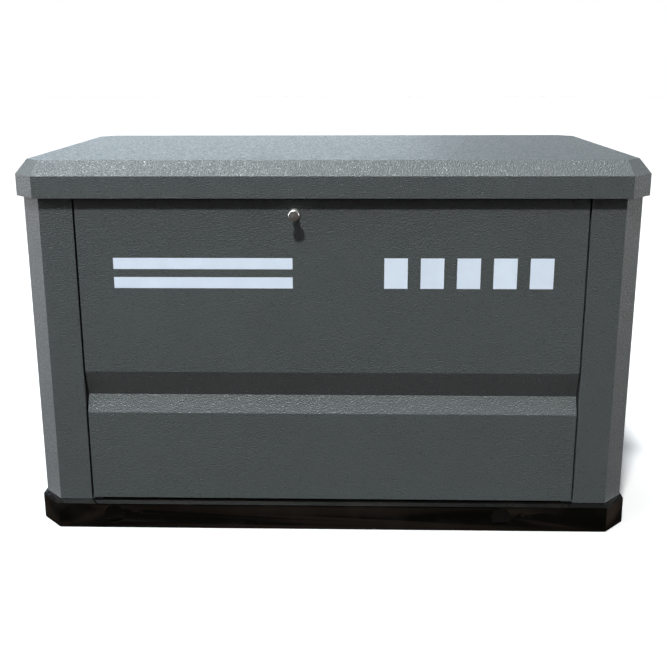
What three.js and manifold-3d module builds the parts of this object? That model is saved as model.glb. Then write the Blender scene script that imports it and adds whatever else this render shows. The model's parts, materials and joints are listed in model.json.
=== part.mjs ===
// Home standby generator: an air-cooled V-twin gas engine and alternator in a steel enclosure.
// Millimetres, +Z up, -Y is the front. The origin is the middle of the footprint, on the ground.
import * as THREE from "three";
import { mergeVertices } from "three/addons/utils/BufferGeometryUtils.js";
import Module from "manifold-3d";

const wasm = await Module();
wasm.setup();

// Driving dimensions
const SHEET = 2; // enclosure sheet thickness
const GAP = 0.5; // between pieces that touch
const LID = { halfW: 610, halfD: 325, chamfer: 44, top: 750, bevelRise: 28, bevelRun: 22, fascia: 42 };
const BODY = { halfW: 600, halfD: 313, chamfer: 41, seamX: 494, top: 712 };
const BASE = { halfW: 603.5, halfD: 333, chamfer: 45, height: 53, sheet: 3, lip: 32 };
const PANEL = { halfW: 490, bottom: 58, top: 677, return: 22, topReturn: 8 };
const GROOVE = { top: 331, middle: 279, bottom: 244, depth: 14 };
const LIFT_HOLE = { xs: [-444, 346], z: 30, radius: 19.9 };
const SMALL_HOLE = { xs: [-390, 390], z: 35, radius: 4.5 }; // grounding and fixing holes
const ANCHOR = { x: 545, y: 316, radius: 6 }; // bolts the base to its pad
const TAB = 22; // how far a post's foot reaches behind the panel beside it
const LOUVRE = { height: 12, pitch: 34, sideHalf: 185, rearHalf: 165, rearX: 235 };
const LATCH = { x: -68, z: 649, headRadius: 10.8, stemRadius: 6.8, reach: 24.5 };
const HINGE = { y: 321, z: 672, pinRadius: 2.5, barrelRadius: 5, halfW: 450, knuckle: 180 };
const PROP = { x: -565, y: 200, z: 708, length: 400, radius: 4, bend: 17 };
const CATCH = { y: -75.4, z: 704, innerX: -573, halfY: 16 }; // where the rod's tip rests
const SIDE_SEAM = 232; // half the depth between the corner posts
const ENGINE = { x: -215, y: 40, z: 238 }; // middle of the crankshaft, in the crankcase
const BANK = Math.PI / 4; // each cylinder's lean from vertical
const STAGGER = 12; // each cylinder's offset along the crankshaft
const DIPSTICK = { x: 40, y: -102, z: -27, tube: 120 };
const OIL_FILTER = { x: 60, z: -82 };
const STATOR = { radius: 125, bore: 88, from: 150, to: 330 };
const SHIELD = { x: 331, y: -95, rear: 296, side: 583, top: 560 };
const MUFFLER = { x: 468, y: 95, z: 430, radius: 85, halfLength: 170 };
const CONTROL = { x: 175, halfW: 150, front: -280, back: -80, low: 520, brow: 600, high: 690, rim: -135 };
const GAS = { x: 262, inletZ: 95, inletEnd: 337.5, regulatorZ: 195, regulatorRadius: 55 };
const BATTERY = { x: 458, halfW: 117, y: -190, halfD: 80, top: 247, postX: 80, postY: -142 };

// Materials
const finish = (color, roughness, metalness) =>
  new THREE.MeshStandardMaterial({ color, roughness, metalness });
const M = {
  powderCoat: finish(0x4b4f50, 0.6, 0.25),
  glossBlack: finish(0x0c0c0c, 0.2, 0.1),
  nickel: finish(0xb8b4ac, 0.25, 0.9),
  zinc: finish(0x9a9c9c, 0.4, 0.85),
  castAluminium: finish(0x8d8f90, 0.5, 0.7),
  blackPaint: finish(0x161616, 0.45, 0.1),
  steel: finish(0x7d7f82, 0.35, 0.9),
  copper: finish(0x8a4a28, 0.4, 0.8),
  exhaustSteel: finish(0x6e6a64, 0.5, 0.85),
  rubber: finish(0x141414, 0.8, 0),
  foam: finish(0x232426, 0.95, 0),
  plastic: finish(0x1b1c1e, 0.5, 0),
  red: finish(0xa01812, 0.45, 0),
  green: finish(0x1f7a35, 0.45, 0),
  grey: finish(0x8a8d90, 0.5, 0),
  brass: finish(0xb08d3e, 0.35, 0.9),
};

// Solids

/** A closed geometry as a manifold-3d solid. */
function solid(geometry) {
  if (!geometry.isBufferGeometry) return geometry;
  const flat = geometry.index ? geometry.toNonIndexed() : geometry;
  const bare = new THREE.BufferGeometry().setAttribute("position", flat.getAttribute("position"));
  const merged = mergeVertices(bare, 1e-4);
  const mesh = new wasm.Mesh({
    numProp: 3,
    vertProperties: merged.attributes.position.array,
    triVerts: new Uint32Array(merged.index.array),
  });
  return new wasm.Manifold(mesh);
}

const join = (...pieces) => pieces.flat().map(solid).reduce((a, b) => a.add(b));
const cut = (body, ...tools) => tools.flat().map(solid).reduce((a, b) => a.subtract(b), solid(body));

/** A solid or a geometry as a named mesh in a group. */
function part(group, name, shape, material) {
  const m = solid(shape).getMesh();
  const geometry = new THREE.BufferGeometry()
    .setAttribute("position", new THREE.BufferAttribute(new Float32Array(m.vertProperties), 3))
    .setIndex(new THREE.BufferAttribute(new Uint32Array(m.triVerts), 1));
  geometry.computeVertexNormals();
  const mesh = new THREE.Mesh(geometry, material);
  mesh.name = name;
  group.add(mesh);
  return mesh;
}

/** A group at a place, turned about X. */
function groupAt(parent, x, y, z, turnX = 0) {
  const group = new THREE.Group();
  group.position.set(x, y, z);
  group.rotation.x = turnX;
  parent.add(group);
  return group;
}

const box = (x0, x1, y0, y1, z0, z1) =>
  new THREE.BoxGeometry(x1 - x0, y1 - y0, z1 - z0).translate((x0 + x1) / 2, (y0 + y1) / 2, (z0 + z1) / 2);

/** A round bar along an axis, at the two other coordinates, in X, Y, Z order. */
function bar(axis, radius, from, to, a, b, sides = 20, endRadius = radius) {
  const g = new THREE.CylinderGeometry(endRadius, radius, to - from, sides);
  const middle = (from + to) / 2;
  if (axis === "x") return g.rotateZ(-Math.PI / 2).translate(middle, a, b);
  if (axis === "y") return g.translate(a, middle, b);
  return g.rotateX(Math.PI / 2).translate(a, b, middle);
}

/** A round bar between two points. */
function rod(from, to, radius, sides = 16) {
  const a = new THREE.Vector3(...from);
  const b = new THREE.Vector3(...to);
  const along = b.clone().sub(a);
  const g = new THREE.CylinderGeometry(radius, radius, along.length(), sides);
  g.applyQuaternion(new THREE.Quaternion().setFromUnitVectors(new THREE.Vector3(0, 1, 0), along.normalize()));
  return g.translate(...a.add(b).multiplyScalar(0.5).toArray());
}

/** An outline extruded along an axis. It is in XY for "z", YZ for "x" and XZ for "y". */
function prism(axis, outline, from, to) {
  const points = outline.map(([u, v]) => (axis === "y" ? new THREE.Vector2(v, u) : new THREE.Vector2(u, v)));
  const g = new THREE.ExtrudeGeometry(new THREE.Shape(points), { depth: to - from, bevelEnabled: false });
  g.translate(0, 0, from);
  const X = new THREE.Vector3(1, 0, 0);
  const Y = new THREE.Vector3(0, 1, 0);
  const Z = new THREE.Vector3(0, 0, 1);
  if (axis === "x") g.applyMatrix4(new THREE.Matrix4().makeBasis(Y, Z, X));
  if (axis === "y") g.applyMatrix4(new THREE.Matrix4().makeBasis(Z, X, Y));
  return g;
}

/** A closed [along, radius] profile turned about X. */
function turned(profile, sides = 24) {
  const area = profile.reduce((sum, [x, r], i) => {
    const [x2, r2] = profile[(i + 1) % profile.length];
    return sum + x * r2 - x2 * r;
  }, 0);
  const round = area > 0 ? [...profile].reverse() : profile;
  const points = [...round, round[0]].map(([x, r]) => new THREE.Vector2(r, x));
  return new THREE.LatheGeometry(points, sides).rotateZ(-Math.PI / 2);
}

/** A tube with a solid section along a smooth line through some points. */
function tube(points, radius, steps, sides = 8) {
  const section = new THREE.Shape(
    Array.from({ length: sides }, (_, i) => {
      const a = (2 * Math.PI * i) / sides;
      return new THREE.Vector2(radius * Math.cos(a), radius * Math.sin(a));
    }),
  );
  const line = new THREE.CatmullRomCurve3(points.map((p) => new THREE.Vector3(...p)));
  return new THREE.ExtrudeGeometry(section, { extrudePath: line, steps, bevelEnabled: false });
}

/** The outline of a folded sheet. path is its outer line, and its thickness lies on the path's left. */
function folded(path, thickness = SHEET) {
  const left = (a, b) => {
    const length = Math.hypot(b[0] - a[0], b[1] - a[1]);
    return [-(b[1] - a[1]) / length, (b[0] - a[0]) / length];
  };
  const inner = path.map((p, i) => {
    const before = i > 0 ? left(path[i - 1], p) : left(p, path[i + 1]);
    const after = i < path.length - 1 ? left(p, path[i + 1]) : before;
    const k = thickness / (1 + before[0] * after[0] + before[1] * after[1]);
    return [p[0] + (before[0] + after[0]) * k, p[1] + (before[1] + after[1]) * k];
  });
  return [...path, ...inner.reverse()];
}

/** A rectangle with chamfered corners, inset from its stated size. */
function octagon({ halfW, halfD, chamfer }, inset = 0) {
  const w = halfW - inset;
  const d = halfD - inset;
  const c = chamfer - inset * (2 - Math.SQRT2);
  return [[w, c - d], [w, d - c], [w - c, d], [c - w, d], [-w, d - c], [-w, c - d], [c - w, -d], [w - c, -d]];
}

/** A solid through level outlines, given as [outline, height] from the lowest up. */
function loft(levels) {
  const n = levels[0][0].length;
  const positions = levels.flatMap(([outline, z]) => outline.flatMap(([x, y]) => [x, y, z]));
  const index = [];
  for (let level = 0; level < levels.length - 1; level++)
    for (let i = 0; i < n; i++) {
      const a = level * n + i;
      const b = level * n + ((i + 1) % n);
      index.push(a, b, b + n, a, b + n, a + n);
    }
  const last = (levels.length - 1) * n;
  for (let i = 1; i < n - 1; i++) index.push(0, i + 1, i, last, last + i, last + i + 1);
  return new THREE.BufferGeometry()
    .setAttribute("position", new THREE.Float32BufferAttribute(positions, 3))
    .setIndex(index);
}

/** What make gives for the negative and the positive side. */
const both = (make) => [-1, 1].flatMap(make);

/** Evenly spaced numbers. */
const rows = (count, from, pitch) => Array.from({ length: count }, (_, i) => from + i * pitch);

const root = new THREE.Group();
const lidBottom = LID.top - LID.bevelRise - LID.fascia;

// Enclosure

function makeBase() {
  const { halfD, height, sheet, lip } = BASE;
  const through = (x, z, radius, sides) => bar("y", radius, -halfD - 1, halfD + 1, x, z, sides);
  const shell = cut(
    prism("z", octagon(BASE), 0, height),
    prism("z", octagon(BASE, sheet), sheet, height - sheet),
    prism("z", octagon(BASE, lip), -1, sheet + 1),
    LIFT_HOLE.xs.map((x) => through(x, LIFT_HOLE.z, LIFT_HOLE.radius)),
    SMALL_HOLE.xs.map((x) => through(x, SMALL_HOLE.z, SMALL_HOLE.radius, 10)),
    both((sx) => both((sy) => bar("z", ANCHOR.radius, -1, sheet + 1, sx * ANCHOR.x, sy * ANCHOR.y, 8))),
  );
  part(root, "base_tray", shell, M.glossBlack);
}

function makePosts() {
  const { halfW, halfD, chamfer, seamX, top } = BODY;
  const foot = BASE.height + GAP;
  for (const [end, sy] of [["front", -1], ["rear", 1]])
    for (const [side, sx] of [["left", -1], ["right", 1]]) {
      const path = [
        [seamX, halfD - PANEL.return],
        [seamX, halfD],
        [halfW - chamfer, halfD],
        [halfW, halfD - chamfer],
        [halfW, SIDE_SEAM],
        [halfW - 20, SIDE_SEAM],
      ];
      const flip = ([x, y]) => [sx * x, sy * y];
      // The reversed path has its left towards the inside, where the sheet's thickness lies.
      const outline = folded([...path].reverse()).map(flip);
      const tabIn = halfD - PANEL.return;
      const tabOut = halfD - SHEET - 1;
      const tabEnd = seamX - TAB;
      const tab = [[tabEnd, tabIn], [seamX + 1, tabIn], [seamX + 1, tabOut], [tabEnd, tabOut]].map(flip);
      const shape = join(prism("z", outline, foot, top), prism("z", tab, foot, foot + SHEET));
      part(root, `${end}_${side}_post`, shape, M.powderCoat);
    }
}

/** The section of a louvre's hood, over a slot in a wall whose outer face is at face. */
function hoodSection(face, z) {
  const { height } = LOUVRE;
  const lip = face + 8;
  return [[face - SHEET, z + height], [face, z + height + 2], [lip, z + 2], [lip - 1.7, z + 1.5]];
}

/** Slots with slanted hoods, for a side panel at +X. lows are the slots' lower edges. */
function louvres(lows) {
  const { halfW } = BODY;
  const { height, sideHalf } = LOUVRE;
  const slots = lows.map((z) => box(halfW - SHEET - 1, halfW + 1, -sideHalf, sideHalf, z, z + height));
  const hoods = lows.map((z) => prism("y", hoodSection(halfW, z), -sideHalf - 1, sideHalf + 1));
  return { slots, hoods };
}

/** The notched bracket inside the left panel that holds the prop rod's tip. */
function propCatch() {
  const { y, z, innerX, halfY } = CATCH;
  const r = PROP.radius + 0.6;
  const notch = [[y - r, z - r], [y + r, z - r], [y + r + 2, z + 10], [y - r - 6, z + 10]];
  const wall = SHEET / 2 - BODY.halfW;
  return cut(box(wall, innerX, y - halfY, y + halfY, z - 20, z + 4), prism("x", notch, wall + 3, innerX + 1));
}

function makeSidePanels() {
  const { halfW, top } = BODY;
  const edge = SIDE_SEAM - 1;
  const path = [[halfW - 15, -edge], [halfW, -edge], [halfW, edge], [halfW - 15, edge]];
  const blank = prism("z", folded(path), BASE.height + GAP, top - 4);
  const { pitch } = LOUVRE;
  const banks = { left: [rows(11, 150, pitch)], right: [rows(6, 110, pitch), rows(6, 360, pitch)] };
  for (const side of ["left", "right"]) {
    const made = banks[side].map(louvres);
    const panel = join(cut(blank, made.flatMap((m) => m.slots)), made.flatMap((m) => m.hoods));
    const shape = side === "left" ? join(panel.rotate([0, 0, 180]), propCatch()) : panel;
    part(root, `${side}_side_panel`, shape, M.powderCoat);
  }
}

function makeRearPanel() {
  const { halfD } = BODY;
  const w = PANEL.halfW;
  const path = [[w, halfD - 15], [w, halfD], [-w, halfD], [-w, halfD - 15]];
  const { top } = BODY;
  const flange = halfD - 38;
  const topPath = [[halfD, top - 5], [halfD, top], [flange, top], [flange, top - 12]];
  const blank = join(
    prism("z", folded(path), PANEL.bottom, top - 4),
    prism("x", folded(topPath), -w, w),
  );
  const { height, pitch, rearX, rearHalf } = LOUVRE;
  const lows = rows(7, 350, pitch);
  const bank = (make) => both((s) => lows.map((z) => make(z, s * rearX - rearHalf, s * rearX + rearHalf)));
  const slots = bank((z, x0, x1) => box(x0, x1, halfD - SHEET - 1, halfD + 1, z, z + height));
  const hoods = bank((z, x0, x1) => prism("x", hoodSection(halfD, z), x0 - 1, x1 + 1));
  // For the gas pipe, the power conduit and the control conduit.
  const { x: gasX, inletZ } = GAS;
  const holes = [[gasX, inletZ, 16], [gasX - 120, inletZ + 15, 22], [gasX - 190, inletZ + 15, 14]];
  const bores = holes.map(([x, z, radius]) => bar("y", radius, halfD - 4, halfD + 4, x, z));
  part(root, "rear_panel", join(cut(blank, slots, bores), hoods), M.powderCoat);
}

function makeTopRail() {
  const { top } = BODY;
  const face = SHEET + SHEET - BODY.halfD;
  const path = [[face, PANEL.top + 3], [face, top], [face + 34, top], [face + 34, top - 12]];
  const outline = folded([...path].reverse());
  const reach = BODY.seamX - GAP;
  part(root, "top_front_rail", prism("x", outline, -reach, reach), M.powderCoat);
}

function makeFrontPanel() {
  const front = -BODY.halfD;
  const { halfW, bottom, top } = PANEL;
  const face = [
    [front, top],
    [front, GROOVE.top],
    [front + GROOVE.depth, GROOVE.middle],
    [front, GROOVE.bottom],
    [front, bottom],
  ];
  const path = [[front + PANEL.topReturn, top], ...face, [front + PANEL.return, bottom]];
  const skin = prism("x", folded(path), -halfW, halfW);
  const back = front + PANEL.return;
  const cheekOutline = [...face, [back, bottom], [back, top - 30], [front + PANEL.topReturn, top]];
  const cheeks = both((s) => {
    const edge = s * (halfW - SHEET / 2);
    return prism("x", cheekOutline, edge - SHEET / 2, edge + SHEET / 2);
  });
  const hole = bar("y", 9.4, front - 1, front + 4, LATCH.x, LATCH.z);
  part(root, "front_panel", cut(join(skin, cheeks), hole), M.powderCoat);
}

function makeLatch() {
  const front = -BODY.halfD;
  const { x, z, headRadius, stemRadius, reach } = LATCH;
  const nose = front - reach;
  const knob = join(
    bar("y", headRadius, nose + 1.2, nose + 5, x, z, 24),
    bar("y", headRadius - 1.2, nose, nose + 1.3, x, z, 24, headRadius),
    bar("y", stemRadius, nose + 4, front + 6, x, z),
    bar("y", 4, front + 5, front + 16, x, z, 16),
  );
  part(root, "latch_knob", knob, M.nickel);
  const bore = bar("y", stemRadius + GAP, front - 9, front + 9, x, z);
  const bush = join(
    bar("y", 10.6, front - 2.5, front - GAP, x, z, 24),
    bar("y", 9, front - 1, front + 8, x, z, 24),
  );
  part(root, "latch_bush", cut(bush, bore), M.zinc);
  const cam = join(
    bar("y", 9, front + 10, front + 13, x, z, 20),
    box(x, x + 38, front + 10, front + 13, z - 7, z + 7),
  );
  part(root, "latch_cam", cut(cam, bar("y", 4 + 0.3, front, front + 20, x, z, 16)), M.zinc);
}

function makeLid() {
  const { top, bevelRise, bevelRun } = LID;
  const eave = top - bevelRise;
  const roofInset = bevelRun + SHEET / 2;
  const shell = cut(
    loft([[octagon(LID), lidBottom], [octagon(LID), eave], [octagon(LID, bevelRun), top]]),
    loft([
      [octagon(LID, SHEET), lidBottom - 1],
      [octagon(LID, SHEET), eave - 0.8],
      [octagon(LID, roofInset), top - SHEET],
    ]),
  );
  const { x, y, z, radius, bend } = PROP;
  const ear = cut(
    box(x - bend + 3, x - bend + 6, y - 12, y + 12, z - 10, top - SHEET + 0.5),
    bar("x", radius + 0.4, x - 30, x + 10, y, z, 16),
  );
  part(root, "lid", join(shell, ear), M.powderCoat);
  const foam = { halfW: 540, halfD: 275, chamfer: 40 };
  part(root, "lid_foam", prism("z", octagon(foam), top - SHEET - GAP - 20, top - SHEET - GAP), M.foam);
}

/** A stay hinged in the lid's left ear. Its bent tip drops into the catch when the lid is open. */
function makePropRod() {
  const { x, y, z, length, radius, bend } = PROP;
  const tip = y - length;
  const shape = join(
    bar("y", radius, tip, y, x, z, 12),
    bar("x", radius, x - bend, x, y, z, 12),
    bar("x", radius, x - bend, x, tip, z, 12),
    new THREE.SphereGeometry(radius, 12, 8).translate(x, y, z),
    new THREE.SphereGeometry(radius, 12, 8).translate(x, tip, z),
  );
  part(root, "lid_prop_rod", shape, M.zinc);
}

function makeHinge() {
  const { y, z, pinRadius, barrelRadius, halfW, knuckle } = HINGE;
  const wall = BODY.halfD + GAP;
  const inner = LID.halfD - SHEET - GAP;
  const count = (2 * halfW) / knuckle;
  const bodyLeaf = [box(-halfW, halfW, wall, wall + SHEET, z - 40, z - 8)];
  const lidLeaf = [box(-halfW, halfW, inner - SHEET, inner, z + 10, z + 40)];
  for (let i = 0; i < count; i++) {
    const from = -halfW + i * knuckle + GAP;
    const to = from + knuckle - 2 * GAP;
    const barrel = bar("x", barrelRadius, from, to, y, z, 12);
    if (i % 2 === 0) {
      const web = [[wall, z - 9], [wall + SHEET, z - 9], [y - 1, z - 3], [y - 4, z + 1]];
      bodyLeaf.push(barrel, prism("x", web, from, to));
    } else lidLeaf.push(barrel, box(from, to, inner - SHEET, inner, z + 2, z + 11));
  }
  const bore = bar("x", pinRadius + 0.4, -halfW - 1, halfW + 1, y, z, 12);
  part(root, "hinge_body_leaf", cut(join(bodyLeaf), bore), M.zinc);
  part(root, "hinge_lid_leaf", cut(join(lidLeaf), bore), M.zinc);
  part(root, "hinge_pin", bar("x", pinRadius, -halfW - 2, halfW + 2, y, z, 12), M.steel);
}

// Engine and alternator, in the frame of the crankshaft's middle

const engine = groupAt(root, ENGINE.x, ENGINE.y, ENGINE.z);

function makeCradle() {
  const floor = BASE.height - ENGINE.z; // top of the base, in the engine's frame
  const low = floor + 32;
  const high = floor + 56;
  const rails = [-90, 90].map((y) => box(-108, 345, y - 18, y + 18, low, high));
  const cross = [-85, 60, 300].map((x) => box(x - 20, x + 20, -90, 90, low, high - 4));
  part(engine, "engine_cradle", join(rails, cross), M.blackPaint);
  [-80, 320].forEach((x, i) =>
    [-90, 90].forEach((y, j) => {
      const mount = join(
        bar("z", 27, floor + GAP, floor + 4, x, y, 12),
        bar("z", 22, floor + 3, low - 4, x, y, 12),
        bar("z", 27, low - 5, low - GAP, x, y, 12),
      );
      part(engine, `vibration_mount_${1 + 2 * i + j}`, mount, M.rubber);
    }),
  );
}

function makeCrankcase() {
  const outer = [[-105, -128], [105, -128], [105, 30.8], [25.8, 110], [-25.8, 110], [-105, 30.8]];
  const inner = [[-96, -119], [96, -119], [96, 27], [22, 101], [-22, 101], [-96, 27]];
  // The dipstick tube leaves the front wall at 45 degrees.
  const alongTube = (g) => g.rotateX(Math.PI / 4).translate(DIPSTICK.x, DIPSTICK.y, DIPSTICK.z);
  const tubeOuter = alongTube(bar("z", 9, -3, DIPSTICK.tube, 0, 0, 16));
  const tubeBore = alongTube(bar("z", 5, -30, DIPSTICK.tube + 1, 0, 0, 12));
  const casting = join(
    prism("x", outer, -95, 95),
    box(-95, 95, -114, 114, -70, -58), // parting flange
    [-70, 0, 70].map((x) => box(x - 4, x + 4, -110, 110, -128, 20)), // ribs
    bar("y", 30, -116, -100, OIL_FILTER.x, OIL_FILTER.z),
    bar("x", 45, -104, -94, 0, 0),
    bar("x", 60, 94, 95.9, 0, 0),
    tubeOuter,
  );
  const hollow = cut(casting, prism("x", inner, -87, 87), bar("x", 20, -110, 110, 0, 0), tubeBore);
  part(engine, "crankcase", hollow, M.castAluminium);
}

function makeOilParts() {
  const front = -116 - GAP;
  const filter = join(
    bar("y", 37, front - 84, front - 6, OIL_FILTER.x, OIL_FILTER.z),
    bar("y", 33, front - 92, front - 83, OIL_FILTER.x, OIL_FILTER.z, 24, 37),
    bar("y", 34, front - 7, front, OIL_FILTER.x, OIL_FILTER.z),
  );
  part(engine, "oil_filter", filter, M.blackPaint);
  const stick = groupAt(engine, DIPSTICK.x, DIPSTICK.y, DIPSTICK.z, Math.PI / 4);
  const handle = join(
    bar("z", 2.5, -60, DIPSTICK.tube + 5, 0, 0, 10),
    bar("z", 11, DIPSTICK.tube + GAP, DIPSTICK.tube + 10, 0, 0, 16),
    box(-16, 16, -3, 3, DIPSTICK.tube + 9, DIPSTICK.tube + 26),
  );
  part(stick, "oil_dipstick", handle, M.red);
}

function makeCylinders() {
  for (const [end, turn, offset] of [["front", BANK, -STAGGER], ["rear", -BANK, STAGGER]]) {
    const bank = groupAt(engine, offset, 0, 0, turn);
    const deck = 96 + GAP;
    const headFrom = 170;
    const headTo = 216;
    const fins = rows(6, deck + 8, 11).map((z) => box(-62, 62, -60, 60, z, z + 3));
    const headFins = rows(4, headFrom + 4, 11).map((z) => box(-64, 64, -61, 61, z, z + 4));
    const barrel = join(
      prism("z", octagon({ halfW: 50, halfD: 50, chamfer: 26 }), deck, headFrom + 1),
      box(-56, 56, -56, 56, deck, deck + 6),
      fins,
      box(-58, 58, -52, 52, headFrom, headTo),
      headFins,
    );
    part(bank, `cylinder_${end}`, barrel, M.castAluminium);
    const outline = (w, d, c) => octagon({ halfW: w, halfD: d, chamfer: c });
    const foot = [outline(52, 42, 12), headTo + 5];
    const shoulder = [outline(51, 41, 12), headTo + 30];
    const crown = [outline(42, 32, 9), headTo + 38];
    const cover = join(
      prism("z", outline(56, 46, 10), headTo + GAP, headTo + 6),
      loft([foot, shoulder, crown]),
      bar("z", 7, headTo + 30, headTo + 42, 0, 0, 6),
    );
    part(bank, `rocker_cover_${end}`, cover, M.blackPaint);
  }
}

function makeBlower() {
  const sides = 18;
  const scroll = (r, grow) => {
    const arc = Array.from({ length: sides + 1 }, (_, i) => {
      const a = Math.PI * (1 + i / sides);
      return [r * Math.cos(a), r * Math.sin(a)];
    });
    const half = [[188 + grow, 120], [118 + grow * 0.4, 190 + grow], [60, 150 + grow]];
    const mirrored = half.map(([y, z]) => [-y, z]).reverse();
    return [...arc, ...half, ...mirrored];
  };
  const shell = cut(
    prism("x", scroll(150, 0), -192, -112),
    prism("x", scroll(147.5, -3), -189.5, -110),
    bar("x", 108, -193, -188, 0, 0, 24),
  );
  part(engine, "blower_housing", shell, M.blackPaint);
  const blades = Array.from({ length: 12 }, (_, i) =>
    box(-168, -138, -1.5, 1.5, 62, 112).rotateX((2 * Math.PI * i) / 12),
  );
  const disc = [[-140, 0], [-140, 34], [-136, 122], [-124, 124], [-120, 40], [-106, 34], [-106, 0]];
  const wheel = cut(
    join(turned(disc), blades),
    bar("x", 18.4, -200, 200, 0, 0),
  );
  part(engine, "flywheel_fan", wheel, M.castAluminium);
}

function makeCrankshaft() {
  const pinCentre = 32;
  const web = (x) =>
    join(box(x, x + 12, -30, 30, -62, 40), bar("x", 30, x, x + 12, 0, 28, 20));
  const shaft = join(
    bar("x", 18, -176, -29, 0, 0),
    bar("x", 18, 29, 100, 0, 0),
    web(-36),
    web(24),
    bar("x", 17, -30, 30, 0, pinCentre),
    bar("x", 26, -182, -175, 0, 0, 6),
  );
  part(engine, "crankshaft", shaft, M.steel);
}

function makeAlternator() {
  const { radius, bore, from, to } = STATOR;
  const ring = (g) => Array.from({ length: 6 }, (_, i) => g().rotateX((Math.PI * i) / 3));
  const mate = 96 + GAP;
  const cone = [[mate, 30], [mate, 118], [104, 122], [from + 1, 122], [from + 1, 113], [106, 108], [104, 30]];
  const adapter = cut(
    turned(cone),
    ring(() => box(112, 140, -22, 22, 100, 130)),
  );
  const footLow = 56 - (ENGINE.z - BASE.height) + GAP;
  const feet = [-90, 90].map((y) => box(250, 320, y - 22, y + 22, footLow, -60));
  const stator = cut(
    join(adapter, turned([[from, bore], [from, radius], [to, radius], [to, bore]]), feet),
    bar("x", bore, from - 1, to + 1, 0, 0, 24),
  );
  part(engine, "alternator_stator", stator, M.blackPaint);
  const fan = Array.from({ length: 8 }, (_, i) =>
    box(110, 138, -1.5, 1.5, 40, 102).rotateX((Math.PI * i) / 4),
  );
  const rotor = join(
    bar("x", 14, 100 + GAP, 392, 0, 0),
    turned([[106, 0], [106, 42], [140, 42], [140, 104], [143, 104], [143, 0]]),
    fan,
    cut(
      bar("x", bore - 2, from + 5, to - 5, 0, 0, 24),
      [0, 1, 2, 3].map((i) => box(from, to, -9, 9, 58, 100).rotateX((Math.PI * i) / 2)),
    ),
  );
  part(engine, "alternator_rotor", rotor, M.copper);
  const outside = [[to + GAP, 116], [to + GAP, radius], [370, radius], [390, 62]];
  const inside = [[390, 14.6], [374, 14.6], [374, 50], [362, 116]];
  const bell = cut(
    turned([...outside, ...inside]),
    ring(() => box(342, 358, -20, 20, 100, 130)),
  );
  part(engine, "alternator_end_bell", bell, M.castAluminium);
}

function makeStarter() {
  const y = -146;
  const z = -34;
  const starter = join(
    bar("x", 34, -102, 0, y, z),
    bar("x", 20, -96, -30, y - 6, z + 50, 16),
    box(-92, -60, y - 8, y + 8, z + 20, z + 40),
    bar("x", 5, -31, -18, y - 6, z + 50, 8),
  );
  part(engine, "starter_motor", starter, M.steel);
}

function makeIntake() {
  const arm = (s) => rod([0, s * 91.6, 178.5], [0, s * 35, 235], 17);
  const mixer = join(
    box(-30, 30, -32, 32, 222, 262),
    [arm(1), arm(-1)],
    bar("z", 26, 260, 303, 0, 0),
    box(-34, 34, -26, 26, 270, 292),
    bar("x", 12, 20, 46, 0, 243, 16), // gas port
  );
  part(engine, "gas_mixer", cut(mixer, bar("y", 4, -50, 50, 0, 281, 12)), M.castAluminium);
  const lever = groupAt(engine, 0, 0, 281);
  const throttle = join(
    bar("y", 3.4, -44, 30, 0, 0, 12),
    bar("y", 8, -40, -34, 0, 0, 16),
    box(0, 44, -38, -35, -5, 5),
    bar("y", 5, -42, -35, 40, 0, 12),
  );
  part(lever, "throttle_lever", throttle, M.zinc);
}

function makeAirCleaner() {
  const outline = (inset) => octagon({ halfW: 130, halfD: 100, chamfer: 22 }, inset);
  const low = 304;
  const rim = 332;
  const top = 396;
  const base = cut(
    join(prism("z", outline(0), low, rim), box(-165, -120, -40, 40, low + 2, rim - 2)),
    prism("z", outline(3), low + 3, rim + 1),
    box(-170, -110, -35, 35, low + 6, rim - 6),
  );
  part(engine, "air_cleaner_base", base, M.plastic);
  const cover = cut(
    loft([[outline(0), rim + GAP], [outline(2), top - 12], [outline(14), top]]),
    loft([[outline(3), rim - 1], [outline(5), top - 13], [outline(16), top - 3]]),
  );
  part(engine, "air_cleaner_cover", cover, M.plastic);
}

// Exhaust, gas, battery and controls, in the enclosure's frame

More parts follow.
